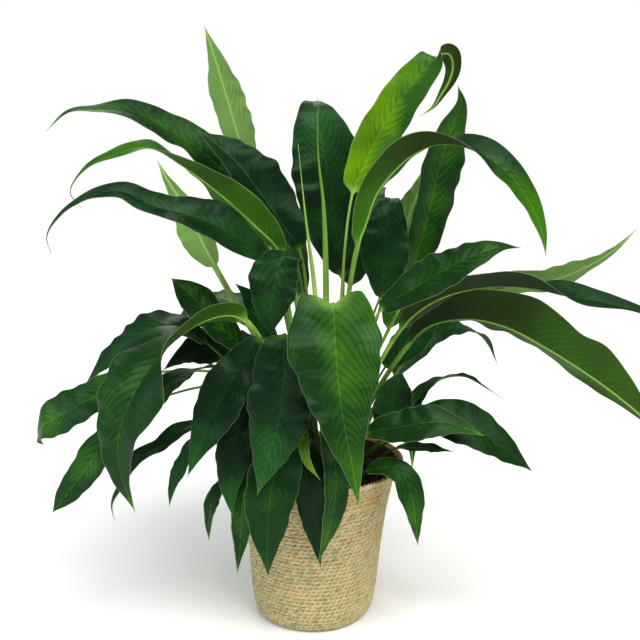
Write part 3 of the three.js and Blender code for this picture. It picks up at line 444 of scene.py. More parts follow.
def leaf_material(name, deep, light, under, rib, stem):
    """Leaf tissue: deep and light are the upper side's greens, rib its midrib, stem its petiole."""
    shader = Shader(name, Specular_IOR_Level=0.2, Specular_Tint=(0.6, 1.0, 0.62, 1))
    vein, side, on_stem, glow, beside_rib, edge = (
        shader.attribute(key) for key in ("vein", "side", "stem", "glow", "rib", "edge")
    )
    blotch = shader.span(shader.noise(13, 3), 0.35, 0.7)
    fleck = shader.noise(110, 2)
    groove_depth = shader.span(shader.noise(24, 2), 0.35, 0.65, 0.25, 1.0)
    groove = shader.scaled(shader.waves(vein, 4), groove_depth)
    swell_height = shader.span(shader.noise(11, 2), 0.38, 0.62, 0.25, 1.0)
    swell = shader.scaled(shader.waves(shader.math("ADD", vein, 0.5), 1), swell_height)
    fine_vein = shader.waves(shader.scaled(vein, 5), 2)

    freshness = shader.scaled(blotch, 0.55, 0.08)
    # painted highlight on the swells between the grooves
    freshness = shader.math("ADD", shader.scaled(swell, SWELL_LIGHTENS, -SWELL_LIGHTENS / 2), freshness)
    # painted light and shade of each leaf, partly its own tone, lightens or darkens its upper side
    freshness = shader.math("ADD", freshness, glow)
    freshness = shader.math("ADD", shader.span(beside_rib, 2.0, 42.0, 0.15, -0.13), freshness)
    share = shader.at_least(shader.at_most(freshness, 1.0), 0.0)
    upper = shader.mix(share, deep, light)
    # painted shade in the grooves over the side veins
    upper = shader.mix(shader.scaled(groove, GROOVE_DARKENS), upper, linear(deep, 0.6))
    upper = shader.mix(shader.scaled(fine_vein, FINE_VEIN_LIGHTENS), upper, light)

    # painted light and shade of each leaf, partly its own tone, also lightens its underside
    fresh_under = shader.at_least(shader.scaled(blotch, 0.35, glow), 0.0)
    lower = shader.mix(shader.at_most(fresh_under, 1.0), under, light)
    # painted shade: where a leaf is painted darker than its tone, its underside darkens towards half its
    # colour
    shaded = shader.at_least(shader.scaled(glow, -1.0), 0.0)
    lower = shader.mix(shaded, lower, linear(under, 0.5))
    # painted shade in the hollows between the underside's raised side veins
    lower = shader.mix(shader.scaled(swell, UNDER_RIBS_DARKEN), lower, linear(under, 0.55))
    colour = shader.mix(side, upper, lower)

    upper_rib = shader.scaled(share, 0.5, 0.12)
    upper_rib = shader.scaled(upper_rib, shader.span(beside_rib, 0.3, 1.5, 1.0, 0.0))
    under_rib = shader.span(beside_rib, 0.8, 2.8, 0.9, 0.0)
    under_rib = shader.scaled(under_rib, shader.span(glow, -1.0, 0.0, 0.4, 1.0))
    rib_share = shader.at_most(shader.scaled(side, under_rib, upper_rib), 0.9)
    colour = shader.mix(rib_share, colour, shader.mix(side, rib, stem))
    edge_share = shader.span(edge, 0.2, 1.0, MARGIN_SHARE, 0.0)
    colour = shader.mix(edge_share, colour, linear(stem, 0.5, 80))
    streak = shader.span(shader.noise(60, 2, (1, 1, 0.12)), 0.35, 0.7)
    green_stem = shader.mix(streak, linear(stem, 0.78), stem)
    # painted shade: petioles low in the crown go towards the deep green
    green_stem = shader.mix(shader.at_most(shaded, 0.85), green_stem, deep)
    colour = shader.mix(on_stem, colour, green_stem)
    colour = shader.mix(shader.span(fleck, 0.72, 0.8, 0.0, FLECK_SHARE), colour, (110, 124, 84))

    roughness = shader.scaled(shader.noise(30, 3), 0.16, shader.scaled(side, 0.28, 0.28))
    relief = shader.scaled(fine_vein, 0.4, shader.scaled(fleck, 0.5))
    relief = shader.math("SUBTRACT", relief, shader.scaled(groove, 0.8))
    return shader.finish(colour, roughness, relief, 0.4, 0.0006)


LEAF_GREENS = {
    "dark": ((9, 32, 13), (32, 82, 32), (34, 52, 16), (50, 96, 32), (98, 138, 46)),
    "green": ((11, 44, 14), (60, 114, 12), (48, 72, 16), (96, 148, 36), (150, 200, 78)),
    "bright": ((38, 84, 22), (112, 160, 2), (66, 104, 30), (116, 164, 56), (186, 232, 106)),
    "pale": ((78, 126, 50), (122, 160, 82), (112, 152, 74), (140, 178, 100), (154, 192, 96)),
}
LEAF_MATERIALS = {tone: leaf_material("leaf_" + tone, *greens) for tone, greens in LEAF_GREENS.items()}


# ---- pieces ----
def make_piece(name, points, faces, material, slot, nodes=(), values=None, smooth=True):
    """A mesh of points in millimetres that rides on the root body and stands for the CAD nodes."""
    mesh = bpy.data.meshes.new(name)
    mesh.from_pydata((np.asarray(points) * MM).tolist(), [], faces)
    for key, numbers in (values or {}).items():
        attribute = mesh.attributes.new(key, "FLOAT", "POINT")
        attribute.data.foreach_set("value", np.asarray(numbers, np.float32).ravel())
    mesh.materials.append(material)
    mesh.polygons.foreach_set("use_smooth", [smooth] * len(mesh.polygons))
    mesh.update()
    piece = add_object(name, mesh)
    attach(piece, "root")
    if nodes:
        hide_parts(*nodes)
    return piece


def tube_faces(stations, sides, start=0, closed=False, capped=True):
    """Quads round a tube of stations, each a ring of points, numbered from start."""
    faces = []
    for i in range(stations if closed else stations - 1):
        here, ahead = start + i * sides, start + (i + 1) % stations * sides
        for k in range(sides):
            faces.append((here + k, here + (k + 1) % sides, ahead + (k + 1) % sides, ahead + k))
    if capped and not closed:
        faces.append(tuple(start + k for k in reversed(range(sides))))
        faces.append(tuple(start + (stations - 1) * sides + k for k in range(sides)))
    return faces


def unit(vectors):
    return vectors / np.maximum(np.linalg.norm(vectors, axis=-1, keepdims=True), 1e-9)


def smoothstep(values):
    values = np.clip(values, 0, 1)
    return values * values * (3 - 2 * values)


def full_turn(count):
    return np.linspace(0, 2 * np.pi, count, endpoint=False)


# ---- a shoot's centre line ----
def wanted_foot(collar):
    """Where a petiole that reaches this collar would stand: the further it leans out, the further out."""
    out = collar[:2] - CROWN
    reach = np.linalg.norm(out)
    lean = math.atan2(reach, collar[2] - SOIL_LEVEL) / (math.pi / 2)
    radius = min(CROWN_INNER_RADIUS + (CROWN_OUTER_RADIUS - CROWN_INNER_RADIUS) * lean, reach)
    return CROWN + out * radius / reach


def spread_feet(feet):
    """Feet that stand too close push each other apart, a little at a time."""
    for _ in range(SPREAD_ROUNDS):
        crowded = False
        for i, foot in enumerate(feet):
            for other in feet[i + 1 :]:
                gap = other - foot
                apart = math.hypot(*gap)
                if apart < PETIOLE_SPACING:
                    push = SPREAD_PUSH * (PETIOLE_SPACING - apart) / apart
                    foot -= push * gap
                    other += push * gap
                    crowded = True
        if not crowded:
            break


class CentreLine:
    """A smooth line through points, measured along its length."""

    STEPS = 150  # between two points

    def __init__(self, foot, midrib, arch):
        collar = midrib[0]
        bend = foot + (collar[:2] - foot) * BEND_REACH
        rise = collar[2] - SOIL_LEVEL
        points = [
            (*foot, SOIL_LEVEL - PETIOLE_SINK),
            (*foot, SOIL_LEVEL),
            (*bend, SOIL_LEVEL + arch * rise),
            *midrib,
        ]
        points = [np.array(point, float) for point in points]
        points = [2 * points[0] - points[1], *points, 2 * points[-1] - points[-2]]
        pieces = [self.stretch(*points[i : i + 4]) for i in range(len(points) - 3)]
        self.points = np.concatenate([*pieces, [points[-2]]])
        steps = np.linalg.norm(np.diff(self.points, axis=0), axis=1)
        self.lengths = np.concatenate([[0], np.cumsum(steps)])
        self.length = self.lengths[-1]
        self.collar = self.lengths[COLLAR_INDEX * self.STEPS]

    def stretch(self, before, first, last, after):
        """A centripetal Catmull-Rom stretch from first to last."""
        d0, d1, d2 = (
            max(np.linalg.norm(b - a), 1e-9) ** 0.5
            for a, b in ((before, first), (first, last), (last, after))
        )
        leaving = ((first - before) / d0 - (last - before) / (d0 + d1) + (last - first) / d1) * d1
        arriving = ((last - first) / d1 - (after - first) / (d1 + d2) + (after - last) / d2) * d1
        t = (np.arange(self.STEPS) / self.STEPS)[:, None]
        cubic = 2 * first - 2 * last + leaving + arriving
        square = 3 * (last - first) - 2 * leaving - arriving
        return first + leaving * t + square * t**2 + cubic * t**3

    def at(self, lengths):
        return np.stack([np.interp(lengths, self.lengths, self.points[:, axis]) for axis in range(3)], -1)

    def along(self, lengths):
        return unit(self.at(np.minimum(lengths + 2, self.length)) - self.at(np.maximum(lengths - 2, 0)))


# ---- leaves ----
def outline(s, leaf):
    """A blade's half width along it, as a share of its widest."""
    before = np.clip((leaf.peak - s) / leaf.peak, 0, 1)
    after = np.clip((s - leaf.peak) / (1 - leaf.peak), 0, 1)
    rising = (1 - before**2) ** leaf.bluntness
    falling = (1 - after**leaf.taper) ** TIP_SHARPNESS
    return np.where(s < leaf.peak, rising, falling)


def face_at(face, s):
    places = np.linspace(0, 1, len(face))
    face = np.array(face, float)
    return unit(np.stack([np.interp(s, places, face[:, axis]) for axis in range(3)], -1))


def foot_radius(width):
    return 2.2 + width / 60


def collar_radius(leaf):
    return leaf.stalk * (1.2 + leaf.width / 80)


def sine(turns):
    return np.sin(2 * np.pi * turns)


def blade_form(leaf, order, s, u, half, opened, blade_length):
    """For each place on a blade: how far out it lies, how high, and which side vein it is nearest to.

    s runs from 0 at the blade's base to 1 at its tip, and u from -1 at one margin to 1 at the other.
    """
    hand = np.sign(u)
    uneven = sum(
        size * np.sin(pace * s + shift * order + (number % 2 + 1) * hand)
        for number, (size, pace, shift) in enumerate(WIDTH_WAVES)
    )
    flat = half * u * (0.96 + uneven)

    base_fold, tip_fold = leaf.fold if isinstance(leaf.fold, tuple) else (leaf.fold, leaf.fold)
    rise = np.tan(np.radians(base_fold + (tip_fold - base_fold) * s))
    crease = np.sqrt(u**2 + 0.004) - 0.063  # like the size of u, but round at the midrib
    wave = u**2 * sine(MARGIN_WAVES * s + LEAF_PHASE * order + SIDE_PHASE * u)
    pace = 1 + 0.25 * np.sin(4.1 * s + order + hand)
    ruffle = np.abs(u) ** 3 * sine(RUFFLES * s * pace + 1.7 * LEAF_PHASE * order + 0.4 * hand)
    ruffle = ruffle * (0.4 + 0.6 * np.sin(np.pi * s)) * opened
    billow = np.sin(np.pi * np.abs(u)) * sine(BILLOWS * s * pace + 0.61 * order + 0.3 * hand)

    wander = 0.22 * np.sin(9 * s + 2.3 * order + hand) + 0.12 * np.sin(23 * s + order)
    start = s * blade_length - VEIN_SLANT * np.abs(flat) - VEIN_SWEEP * blade_length * np.abs(u) ** 3
    vein = start / VEIN_SPACING + wander * (1 + np.abs(u))
    clear_of_rib, clear_of_margin = smoothstep(np.abs(flat) / 5), smoothstep((1 - np.abs(u)) / 0.2)
    window = clear_of_rib * clear_of_margin * smoothstep(s / 0.1)
    furrow = (0.5 + 0.5 * np.cos(2 * np.pi * vein)) ** 4
    quilting = -QUILT * (furrow - QUILT_MEAN) * window * np.minimum(half / 26, 1)

    lift = half * rise * (crease - CAMBER * u**2) + MARGIN_WAVE * 2 * half * wave
    lift = lift + half * (RUFFLE * ruffle + BILLOW * billow * opened) + quilting
    return flat, lift, vein


def leaf_faces(rows, across):
    """Quads over a leaf's upper side, under its lower side and along its margins, and its two ends."""
    faces = []
    below = rows * across
    for i in range(rows - 1):
        for k in range(across - 1):
            a, b = i * across + k, (i + 1) * across + k
            faces.append((a, a + 1, b + 1, b))
            faces.append((below + a, below + b, below + b + 1, below + a + 1))
        left, right = i * across, i * across + across - 1
        faces.append((below + left, left, left + across, below + left + across))
        faces.append((right, below + right, below + right + across, right + across))
    foot = list(range(across))
    tip = [(rows - 1) * across + k for k in foot]
    faces.append(tuple([below + k for k in foot] + foot[::-1]))
    faces.append(tuple(tip + [below + k for k in reversed(tip)]))
    return faces


def leaf_piece(leaf, line, order):
    """A leaf: rings round its petiole that flatten into a blade, every ring an upper and a lower half."""
    blade_length = line.length - line.collar
    stalk = np.linspace(0, line.collar, STALK_STATIONS)[:-1]
    blade = np.linspace(line.collar, line.length, int(blade_length / BLADE_STEP))
    lengths = np.concatenate([stalk, blade])
    s = np.clip((lengths - line.collar) / blade_length, 0, 1)
    centre, along = line.at(lengths), line.along(lengths)
    side = unit(np.cross(along, face_at(leaf.face, s)))
    up = np.cross(side, along)

    share = np.clip(lengths / line.collar, 0, 1)
    radius = foot_radius(leaf.width) + (collar_radius(leaf) - foot_radius(leaf.width)) * share
    opened = smoothstep(s / BLADE_START)
    half = np.maximum(leaf.width / 2 * outline(s, leaf), TIP_HALF_WIDTH * (1 - 0.6 * s))
    rib = radius * RIB_HEIGHT * (1 - s) ** RIB_FADE
    back = leaf.lobe * np.maximum(1 - s / LOBE_LENGTH, 0) ** 2 * opened
    columns = [value[:, None] for value in (s, share, radius, opened, half, rib, back)]
    s, share, radius, opened, half, rib, back = columns
    u = ACROSS[None, :]
    flat, lift, vein = blade_form(leaf, order, s, u, half, opened, blade_length)
    groove = MIDRIB_GROOVE * np.exp(-((flat / MIDRIB_GROOVE_WIDTH) ** 2)) * (1 - s)
    keel = rib * np.exp(-((flat / np.maximum(0.9 * radius * (1 - 0.6 * s), 0.8)) ** 2))
    skin = SKIN - SKIN_THINNING * np.abs(u)

    turn = np.pi * (1 - (np.arange(len(ACROSS)) + 0.5) / len(ACROSS))[None, :]
    sheath = smoothstep((SHEATH_END - share) / 0.2) * (1 - opened)
    round_x = radius * (1 + SHEATH_SPREAD * sheath) * np.cos(turn)
    channel = CHANNEL * radius * np.exp(-((np.cos(turn) / 0.35) ** 2)) * smoothstep(share * 4)
    heave = radius * np.sin(turn)
    x = round_x + (flat - round_x) * opened
    top = (heave - channel) * (1 - opened) + (lift + skin - groove) * opened
    under = -heave * (1 - opened) + (lift - skin - keel) * opened

    def place(height):
        shifted = centre[:, None] + side[:, None] * x[..., None] + up[:, None] * height[..., None]
        return shifted - along[:, None] * (back * u**2)[..., None]

    points = np.concatenate([place(top).reshape(-1, 3), place(under).reshape(-1, 3)])

    # painted light and shade along each blade, partly the leaf's own tone, from its shade and lean
    blade_glow = np.interp(s, [0, 0.5, 1], leaf.shade) + leaf.lean * u
    # painted shade: a petiole is painted darker the lower it stands in the crown
    crown_light = np.interp(centre[:, 2:3], CROWN_SHADE_HEIGHTS, [-1.0, 0.0])
    values = {
        "vein": vein,
        "rib": np.abs(flat),
        "edge": half * (1 - np.abs(u)) + WELL_INSIDE * (1 - opened),
        "stem": (1 - opened) * np.ones_like(x),
        "glow": blade_glow * opened + crown_light * (1 - opened),
    }
    values = {key: np.tile(grid.ravel(), 2) for key, grid in values.items()}
    values["side"] = np.repeat([0.0, 1.0], x.size)
    name, slot = "leaf_" + leaf.name, "leaf_" + leaf.tone
    faces = leaf_faces(*x.shape)
    make_piece(name + "_blade", points, faces, LEAF_MATERIALS[leaf.tone], slot, [name], values)


def spear_piece(spear, line):
    """A leaf still rolled up: a slim spear whose outer edge winds up it."""
    stations, sides = 90, 18
    lengths = np.linspace(0, line.length, stations)
    share = (lengths / line.length)[:, None]
    centre, along = line.at(lengths), line.along(lengths)
    side = unit(np.cross(along, np.array([0.0, -1.0, 0.0])))
    front = np.cross(side, along)
    turn = full_turn(sides)[None, :]
    swell = SPEAR_SWELL * spear.width * np.sin(np.pi * share) ** 2
    radius = foot_radius(spear.width) * (1 - share) + SPEAR_TIP_RADIUS * share + swell
    lap = (turn / (2 * np.pi) + SPEAR_TURNS * share) % 1
    radius = radius * (0.93 + 0.16 * lap)
    x, y = radius * np.cos(turn), radius * np.sin(turn)
    offset = side[:, None] * x[..., None] + front[:, None] * y[..., None]
    points = (centre[:, None] + offset).reshape(-1, 3)
    grid = np.ones((stations, sides))
    values = {
        "vein": lap * 3 * grid,
        "rib": WELL_INSIDE * grid,
        "edge": WELL_INSIDE - (WELL_INSIDE - 0.1) * smoothstep((lap - 0.93) / 0.05) * grid,
        "stem": grid * (0.75 + 0.25 * smoothstep((0.9 - share) / 0.4)),
        "glow": 0.8 * grid,
        "side": 0.5 * grid,
    }
    name, slot = spear.name, "leaf_" + spear.tone
    faces = tube_faces(stations, sides)
    make_piece(name + "_roll", points, faces, LEAF_MATERIALS[spear.tone], slot, [name], values)


shoots = LEAVES + SPEARS
midribs = [np.array(shoot.midrib, float) for shoot in shoots]
feet = [wanted_foot(midrib[0]) for midrib in midribs]
spread_feet(feet)
arches = [shoot.arch for shoot in shoots]
lines = [CentreLine(*shoot) for shoot in zip(feet, midribs, arches)]
for order, shoot in enumerate(LEAVES):
    leaf_piece(shoot, lines[order], order)
for order, spear in enumerate(SPEARS):
    spear_piece(spear, lines[len(LEAVES) + order])


# ---- basket ----
def seagrass_material():
    """Dried grass: the tint of a strand picks its colour, and painted shade darkens it the deeper it lies
    in the weave.
    """
    shader = Shader("seagrass_woven", Specular_IOR_Level=0.25)
    ramp = shader.tree.nodes.new("ShaderNodeValToRGB")
    stops = [
        (0.0, (152, 145, 98)), (0.2, (177, 168, 119)), (0.42, (197, 186, 138)), (0.62, (215, 198, 152)),
        (0.8, (205, 177, 126)), (0.92, (213, 173, 121)), (1.0, (208, 157, 104)),
    ]
    while len(ramp.color_ramp.elements) < len(stops):
        ramp.color_ramp.elements.new(0.5)
    for element, (place, colour) in zip(ramp.color_ramp.elements, stops):
        element.position = place
        element.color = linear(colour)
    shader.put(ramp.inputs[0], shader.attribute("tint"))
    fibre = shader.noise(420, 2)
    patch = shader.noise(16, 3)
    depth = shader.attribute("depth")
    colour = shader.mix(shader.span(fibre, 0.35, 0.7, 0.0, 0.22), ramp.outputs[0], (142, 124, 82))
    colour = shader.mix(shader.span(patch, 0.4, 0.7, 0.0, 0.3), colour, (176, 172, 112))
    # painted shade: deep in the weave the colour goes dark brown, and deepest nearly black
    colour = shader.mix(shader.span(depth, 0.0, 2.0, 0.0, 0.9), colour, (84, 70, 42))
    colour = shader.mix(shader.span(depth, 1.4, 2.0, 0.0, 0.85), colour, (22, 18, 10))
    return shader.finish(colour, shader.scaled(fibre, 0.2, 0.62), fibre, 0.6, 0.0006)


seagrass = seagrass_material()
profile = np.array(BASKET_PROFILE, float)
profile_lengths = np.concatenate([[0], np.cumsum(np.linalg.norm(np.diff(profile, axis=0), axis=1))])
WALL_LENGTH = profile_lengths[-1]
BAND_START = WALL_LENGTH - BASKET_BAND
ROW_SHIFT = 1.9  # of the strands' twist from one row to the next, in radians
ROW_DEPTH = 2.7  # how far the middle of a row lies inside the basket's outline
BRAID_DEPTH = 3.2
RIM_SINK = 5  # how far below the rim's edge the braid's middle runs
LINING_STEP = 2.0
LINING_RIB = 6  # from one rib of the lining to the next


def on_profile(length):
    """The radius and the height of the basket's outline, this far up it."""
    return [np.interp(length, profile_lengths, profile[:, column]) for column in (0, 1)]


def leaned(x, height):
    """The basket leans to the right, and its rim rises there."""
    x = x + BASKET_LEAN * height
    return x, height + BASKET_RIM_RISE * x * (np.clip(height, 0, None) / BASKET_HEIGHT) ** 4


def basket_point(angle, length, out):
    """A point of the basket's wall: its angle, its way up the profile, and how far it stands out."""
    angle, length, out = np.broadcast_arrays(angle, length, out)
    radius, height = on_profile(length)
    widening, rising = np.subtract(on_profile(length + 6), on_profile(length - 6))
    slope = np.hypot(widening, rising)
    radius = radius + out * rising / slope
    height = height - out * widening / slope
    y = radius * np.sin(angle)
    x, height = leaned(radius * np.cos(angle), height)
    return np.stack([x, y, height], -1)


def dash_tints(phase, draw):
    """A strand's tint along it, drawn anew for each half turn, which shows as one dash of the weave."""
    dash = np.floor(phase / np.pi).astype(int).tolist()
    tint_of = {number: draw() for number in sorted(set(dash))}
    return np.array([tint_of[number] for number in dash])


class Weave:
    """Strands that run round the basket, gathered into one piece."""

    def __init__(self):
        self.points, self.faces, self.tints, self.depths = [], [], [], []

    def add(self, angle, length, out, tint, depth):
        """A closed strand. The length and out have a row for each of its stations."""
        steps, sides = out.shape
        start = sum(len(part) for part in self.points)
        self.points.append(basket_point(angle[:, None], length, out).reshape(-1, 3))
        self.faces += tube_faces(steps, sides, start, closed=True)
        self.tints.append(np.repeat(tint, sides))
        self.depths.append(np.repeat(depth, sides))

    def piece(self, name):
        values = {"tint": np.concatenate(self.tints), "depth": np.concatenate(self.depths)}
        return make_piece(name, np.concatenate(self.points), self.faces, seagrass, "seagrass", (), values)


def twined_rows(name, first, last, spacing, twists, thick, swing, warm):
    """Rows of two seagrass strands that twist round each other, one row above the other.

    Each row starts a little further round, so that the strands line up aslant. They wander and vary in
    thickness, as grass does.
    """
    weave = Weave()
    rows = round((last - first) / spacing)
    steps, sides = twists * 6, 6
    angle = full_turn(steps)
    ring = full_turn(sides)[None, :]
    for row in range(rows):
        length = first + (row + 0.5) * (last - first) / rows
        shift = ROW_SHIFT * row + 0.5 * random.random()
        for strand in range(2):
            phase = twists * angle + np.pi * strand + shift
            tint = dash_tints(phase, lambda: random.betavariate(1.5, 1.7)) + warm
            bow = 0.5 * np.sin(random.randint(3, 9) * angle + shift)
            bow = bow + 0.3 * np.sin(random.randint(10, 30) * angle)
            girth = thick * (1 + 0.12 * np.sin(random.randint(20, 60) * angle + shift))[:, None]
            up = (swing * np.sin(phase) + bow)[:, None] + girth * 0.95 * np.sin(ring)
            out = -ROW_DEPTH + 0.9 * np.cos(phase)[:, None] + girth * 0.7 * np.cos(ring)
            # painted shade: a strand darkens where it dips into the weave
            weave.add(angle, length + up, out, tint, 0.5 - 0.5 * np.cos(phase))
    return weave.piece(name)


def rim_braid():
    """Three strands plaited along the rim."""
    weave = Weave()
    crossings, sides = 44, 7
    angle = full_turn(crossings * 8)
    ring = full_turn(sides)[None, :]
    for strand in range(3):
        phase = crossings * angle + 2 * np.pi * strand / 3
        up = 2.6 * np.sin(phase)[:, None] + 2.3 * np.sin(ring)
        out = -BRAID_DEPTH + 2.4 * np.sin(2 * phase)[:, None] + 2.1 * np.cos(ring)
        tint = dash_tints(phase, lambda: 0.45 + 0.45 * random.random())
        # painted shade: a strand darkens where it dips into the braid
        weave.add(angle, WALL_LENGTH - RIM_SINK + up, out, tint, 0.5 - 0.5 * np.sin(2 * phase))
    weave.piece("basket_rim_braid")


def lathe(name, outline_points, sides, material, slot, nodes=(), values=None, form=None):
    """A closed form turned about Z from a profile that starts and ends on the axis.

    Each list among the values has one number for each point of the profile. The form, if there is one,
    shifts x and height.
    """
    ring = full_turn(sides)
    inner = np.array(outline_points[1:-1], float)
    x = inner[:, None, 0] * np.cos(ring)[None, :]
    y = inner[:, None, 0] * np.sin(ring)[None, :]
    z = np.repeat(inner[:, 1:2], sides, axis=1)
    if form:
        x, z = form(x, z)
    points = np.stack([x, y, z], -1).reshape(-1, 3)
    ends = np.array([[0, 0, outline_points[0][1]], [0, 0, outline_points[-1][1]]], float)
    faces = tube_faces(len(inner), sides, capped=False)
    count = len(points)
    last = count - sides
    for k in range(sides):
        faces.append((count, (k + 1) % sides, k))
        faces.append((count + 1, last + k, last + (k + 1) % sides))
    values = {
        key: np.concatenate([np.repeat(numbers[1:-1], sides), [numbers[0], numbers[-1]]])
        for key, numbers in (values or {}).items()
    }
    return make_piece(name, np.concatenate([points, ends]), faces, material, slot, nodes, values)


def basket_lining():
    """The basket's inner side and floor, ribbed by the rows."""
    outer, inner = [], []
    for length in np.arange(0, WALL_LENGTH - 6, LINING_STEP):
        radius, height = on_profile(length)
        outer.append((radius - 4, max(height, 1.0)))
        if height > BASKET_WALL + 1:
            rib = 0.9 * math.cos(2 * math.pi * length / LINING_RIB)
            inner.append((radius - 7.6 + rib, height))
    outer = [(0, 1.0), (60, 1.0), *outer]
    inner = [*inner[::-1], (90, 9), (60, 8.6), (30, 9), (0, 8.8)]
    # painted shade: the lining's inside is painted nearly black, its outside a little darker
    depth = [0.5] * len(outer) + [2.0] * len(inner)
    values = {"tint": [0.35] * len(depth), "depth": depth}
    lathe("basket_lining", outer + inner, 96, seagrass, "seagrass", values=values, form=leaned)


body_rows = twined_rows(
    "basket_body_weave", 3, BAND_START - 3,
    spacing=7.6, twists=38, thick=3.0, swing=2.0, warm=0.0
)
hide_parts("basket")
twined_rows(
    "basket_band_edge", BAND_START - 5, BAND_START + 3,
    spacing=8.0, twists=30, thick=3.2, swing=2.2, warm=0.3
)
twined_rows(
    "basket_band_weave", BAND_START + 3, WALL_LENGTH - RIM_SINK,
    spacing=8.6, twists=34, thick=3.3, swing=2.3, warm=0.22
)
rim_braid()
basket_lining()


# ---- pot and soil ----
def pot_material():
    shader = Shader("pot_plastic", Specular_IOR_Level=0.4)
    dust = shader.noise(22, 4)
    colour = shader.mix(shader.span(dust, 0.5, 0.75, 0.0, 0.5), (24, 24, 25), (58, 52, 44))
    return shader.finish(colour, shader.scaled(dust, 0.3, 0.35), shader.noise(300, 3), 0.3, 0.0003)


def pot():
    """The nursery pot, its wall rolled outwards into a lip."""
    foot = BASKET_WALL + TOUCH_GAP
    lip = foot + POT_LIP_START * POT_HEIGHT
    top = foot + POT_HEIGHT
    mouth, inner_foot = POT_MOUTH_RADIUS, POT_FOOT_RADIUS - POT_WALL
    lip_radius = mouth + POT_LIP
    outside = [
        (0, foot), (POT_FOOT_RADIUS - 2, foot), (POT_FOOT_RADIUS, foot + 2), (mouth - 0.4, lip - 1),
        (mouth, lip), (lip_radius - 1, lip + 1), (lip_radius, lip + 2.5), (lip_radius, top - 1.5),
        (lip_radius - 1, top),
    ]
    inside = [
        (lip_radius - POT_WALL, top - 0.4), (mouth - 1, lip + 3), (mouth - POT_WALL, lip - 1),
        (inner_foot, foot + POT_WALL + 1), (inner_foot - 2, foot + POT_WALL), (0, foot + POT_WALL),
    ]
    lathe("nursery_pot", outside + inside, 96, pot_material(), "black_plastic", ["grow_pot"])


def soil_material():
    shader = Shader("soil_crumbs", Specular_IOR_Level=0.15)
    crumbs = shader.noise(160, 4)
    damp = shader.noise(20, 3)
    colour = shader.mix(shader.span(crumbs, 0.35, 0.7), (22, 16, 12), (66, 50, 38))
    colour = shader.mix(shader.span(damp, 0.45, 0.7, 0.0, 0.5), colour, (18, 14, 11))
    return shader.finish(colour, shader.scaled(crumbs, 0.2, 0.75), crumbs, 0.8, 0.002)


soil_crumbs = soil_material()
SOIL_EDGE_RADIUS = POT_MOUTH_RADIUS - POT_WALL - 2
SOIL_WAVES = 26
BARK_CHIPS = 240
CHIP_RINGS = ((-1, 0.6), (-0.3, 1), (0.4, 0.95), (1, 0.55))  # height and size of a chip's four rings
CHIP_SIDES = 6
ANY_TURN = 6.28


def soil():
    """Crumbly soil up to its level."""
    floor = BASKET_WALL + POT_WALL + 2 * TOUCH_GAP
    low = POT_FOOT_RADIUS - POT_WALL - 3.4
    sides, rings = 120, 44
    angle = full_turn(sides)[None, :]
    radius = (SOIL_EDGE_RADIUS * np.linspace(1, 0.01, rings))[:, None]
    rough = 0
    for number in range(SOIL_WAVES):
        size = random.uniform(0.4, 1.0) / (1 + number / 9)
        pace = random.uniform(0.05, 0.45)
        heading = random.uniform(0, ANY_TURN)
        shift = random.uniform(0, ANY_TURN)
        rough = rough + size * np.sin(pace * radius * np.cos(angle + heading) + shift)
    top = SOIL_LEVEL - 1.5 + 0.55 * rough * smoothstep((SOIL_EDGE_RADIUS - radius) / 6)
    wall = np.stack([low * np.cos(angle[0]), low * np.sin(angle[0]), np.full(sides, floor)], -1)
    surface = np.stack([radius * np.cos(angle), radius * np.sin(angle), top], -1).reshape(-1, 3)
    points = np.concatenate([wall, surface])
    faces = tube_faces(rings + 1, sides)
    make_piece("soil_fill", points, faces, soil_crumbs, "potting_soil", ["potting_soil"])


def bark_chips():
    """Bark chips pressed into the top of the soil."""
    points, faces = [], []
    for _ in range(BARK_CHIPS):
        reach = SOIL_EDGE_RADIUS * 0.95 * math.sqrt(random.random())
        turn = random.uniform(0, 2 * math.pi)
        long, wide, flat = random.uniform(3, 8), random.uniform(2, 4), random.uniform(0.8, 1.8)
        tilt = (random.uniform(-0.4, 0.4), random.uniform(-0.4, 0.4), random.uniform(0, ANY_TURN))
        twist = Euler(tilt).to_matrix()
        centre = Vector((reach * math.cos(turn), reach * math.sin(turn), SOIL_LEVEL + 0.4))
        start = len(points)
        for height, ring_size in CHIP_RINGS:
            for k in range(CHIP_SIDES):
                corner = 2 * math.pi * k / CHIP_SIDES
                size = ring_size * random.uniform(0.8, 1.1)
                offset = (long * size * math.cos(corner), wide * size * math.sin(corner), flat * height)
                points.append(centre + twist @ Vector(offset))
        faces += tube_faces(len(CHIP_RINGS), CHIP_SIDES, start)
    points = [tuple(point) for point in points]
    make_piece("soil_bark_chips", points, faces, soil_crumbs, "potting_soil", smooth=False)


pot()
soil()
bark_chips()

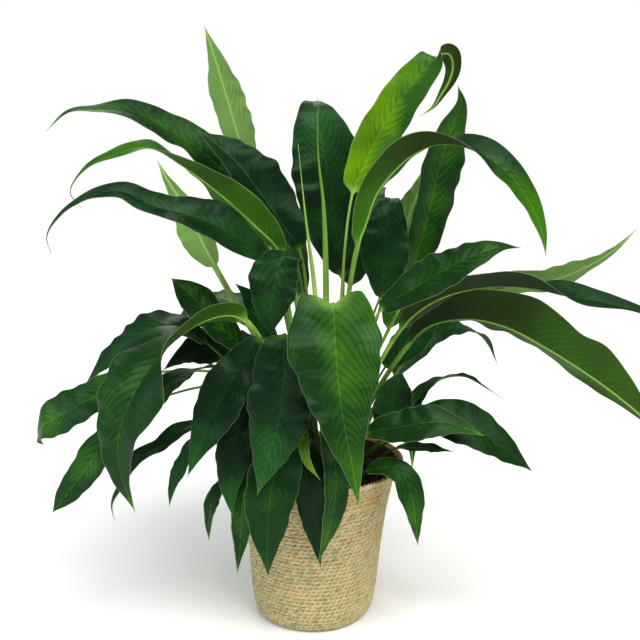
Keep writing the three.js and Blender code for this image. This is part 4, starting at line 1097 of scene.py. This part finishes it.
# ---- stage ----
FLOOR_REACH = 30  # metres
floor_shader = Shader("studio_floor", Roughness=0.8, Specular_IOR_Level=0.1)
floor_shader.surface.inputs["Base Color"].default_value = linear((255, 255, 255))
floor_mesh = bpy.data.meshes.new("studio_floor")
floor_corners = [(x * FLOOR_REACH, y * FLOOR_REACH, 0) for x, y in ((-1, -1), (1, -1), (1, 1), (-1, 1))]
floor_mesh.from_pydata(floor_corners, [], [(0, 1, 2, 3)])
floor_mesh.materials.append(floor_shader.material)
floor = add_object("studio_floor", floor_mesh)
floor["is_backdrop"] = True

# The camera sees the backdrop pure white, and everything else is lit by it far more dimly.
world = bpy.data.worlds.new("studio")
world.use_nodes = True
world_tree = world.node_tree
backdrop = world_tree.nodes["Background"]
backdrop.inputs["Color"].default_value = (1.0, 1.0, 1.0, 1)
ambient = world_tree.nodes.new("ShaderNodeBackground")
ambient.inputs["Color"].default_value = (0.95, 0.98, 0.98, 1)
ambient.inputs["Strength"].default_value = 0.24
seen = world_tree.nodes.new("ShaderNodeLightPath")
either = world_tree.nodes.new("ShaderNodeMixShader")
sources = (seen.outputs["Is Camera Ray"], ambient.outputs[0], backdrop.outputs[0])
for socket, source in zip(either.inputs, sources):
    world_tree.links.new(source, socket)
world_tree.links.new(either.outputs[0], world_tree.nodes["World Output"].inputs["Surface"])
bpy.context.scene.world = world
bpy.context.scene.view_settings.view_transform = "Standard"


def lamp(name, kind, place, target, energy, colour=(1, 1, 1), **settings):
    light = bpy.data.lights.new(name, kind)
    light.energy = energy
    light.color = colour
    for key, value in settings.items():
        setattr(light, key, value)
    holder = add_object(name, light)
    holder.location = place
    holder.rotation_euler = (Vector(target) - Vector(place)).to_track_quat("-Z", "Y").to_euler()


lamp("key", "SUN", (0.9, -1.5, 2.6), (0, 0, 0), 3.1, (1.0, 0.99, 0.97), angle=math.radians(45))
lamp("window", "AREA", (-2.2, -1.3, 1.5), (0, 0, 0.5), 26, (0.82, 0.92, 1.0), shape="DISK", size=1.3)
lamp("back", "AREA", (-0.6, 1.9, 2.4), (0, 0, 0.7), 20, (1.0, 0.98, 0.92), shape="DISK", size=1.2)

boxes = {"cad": cad_bounds, "visual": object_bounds()}
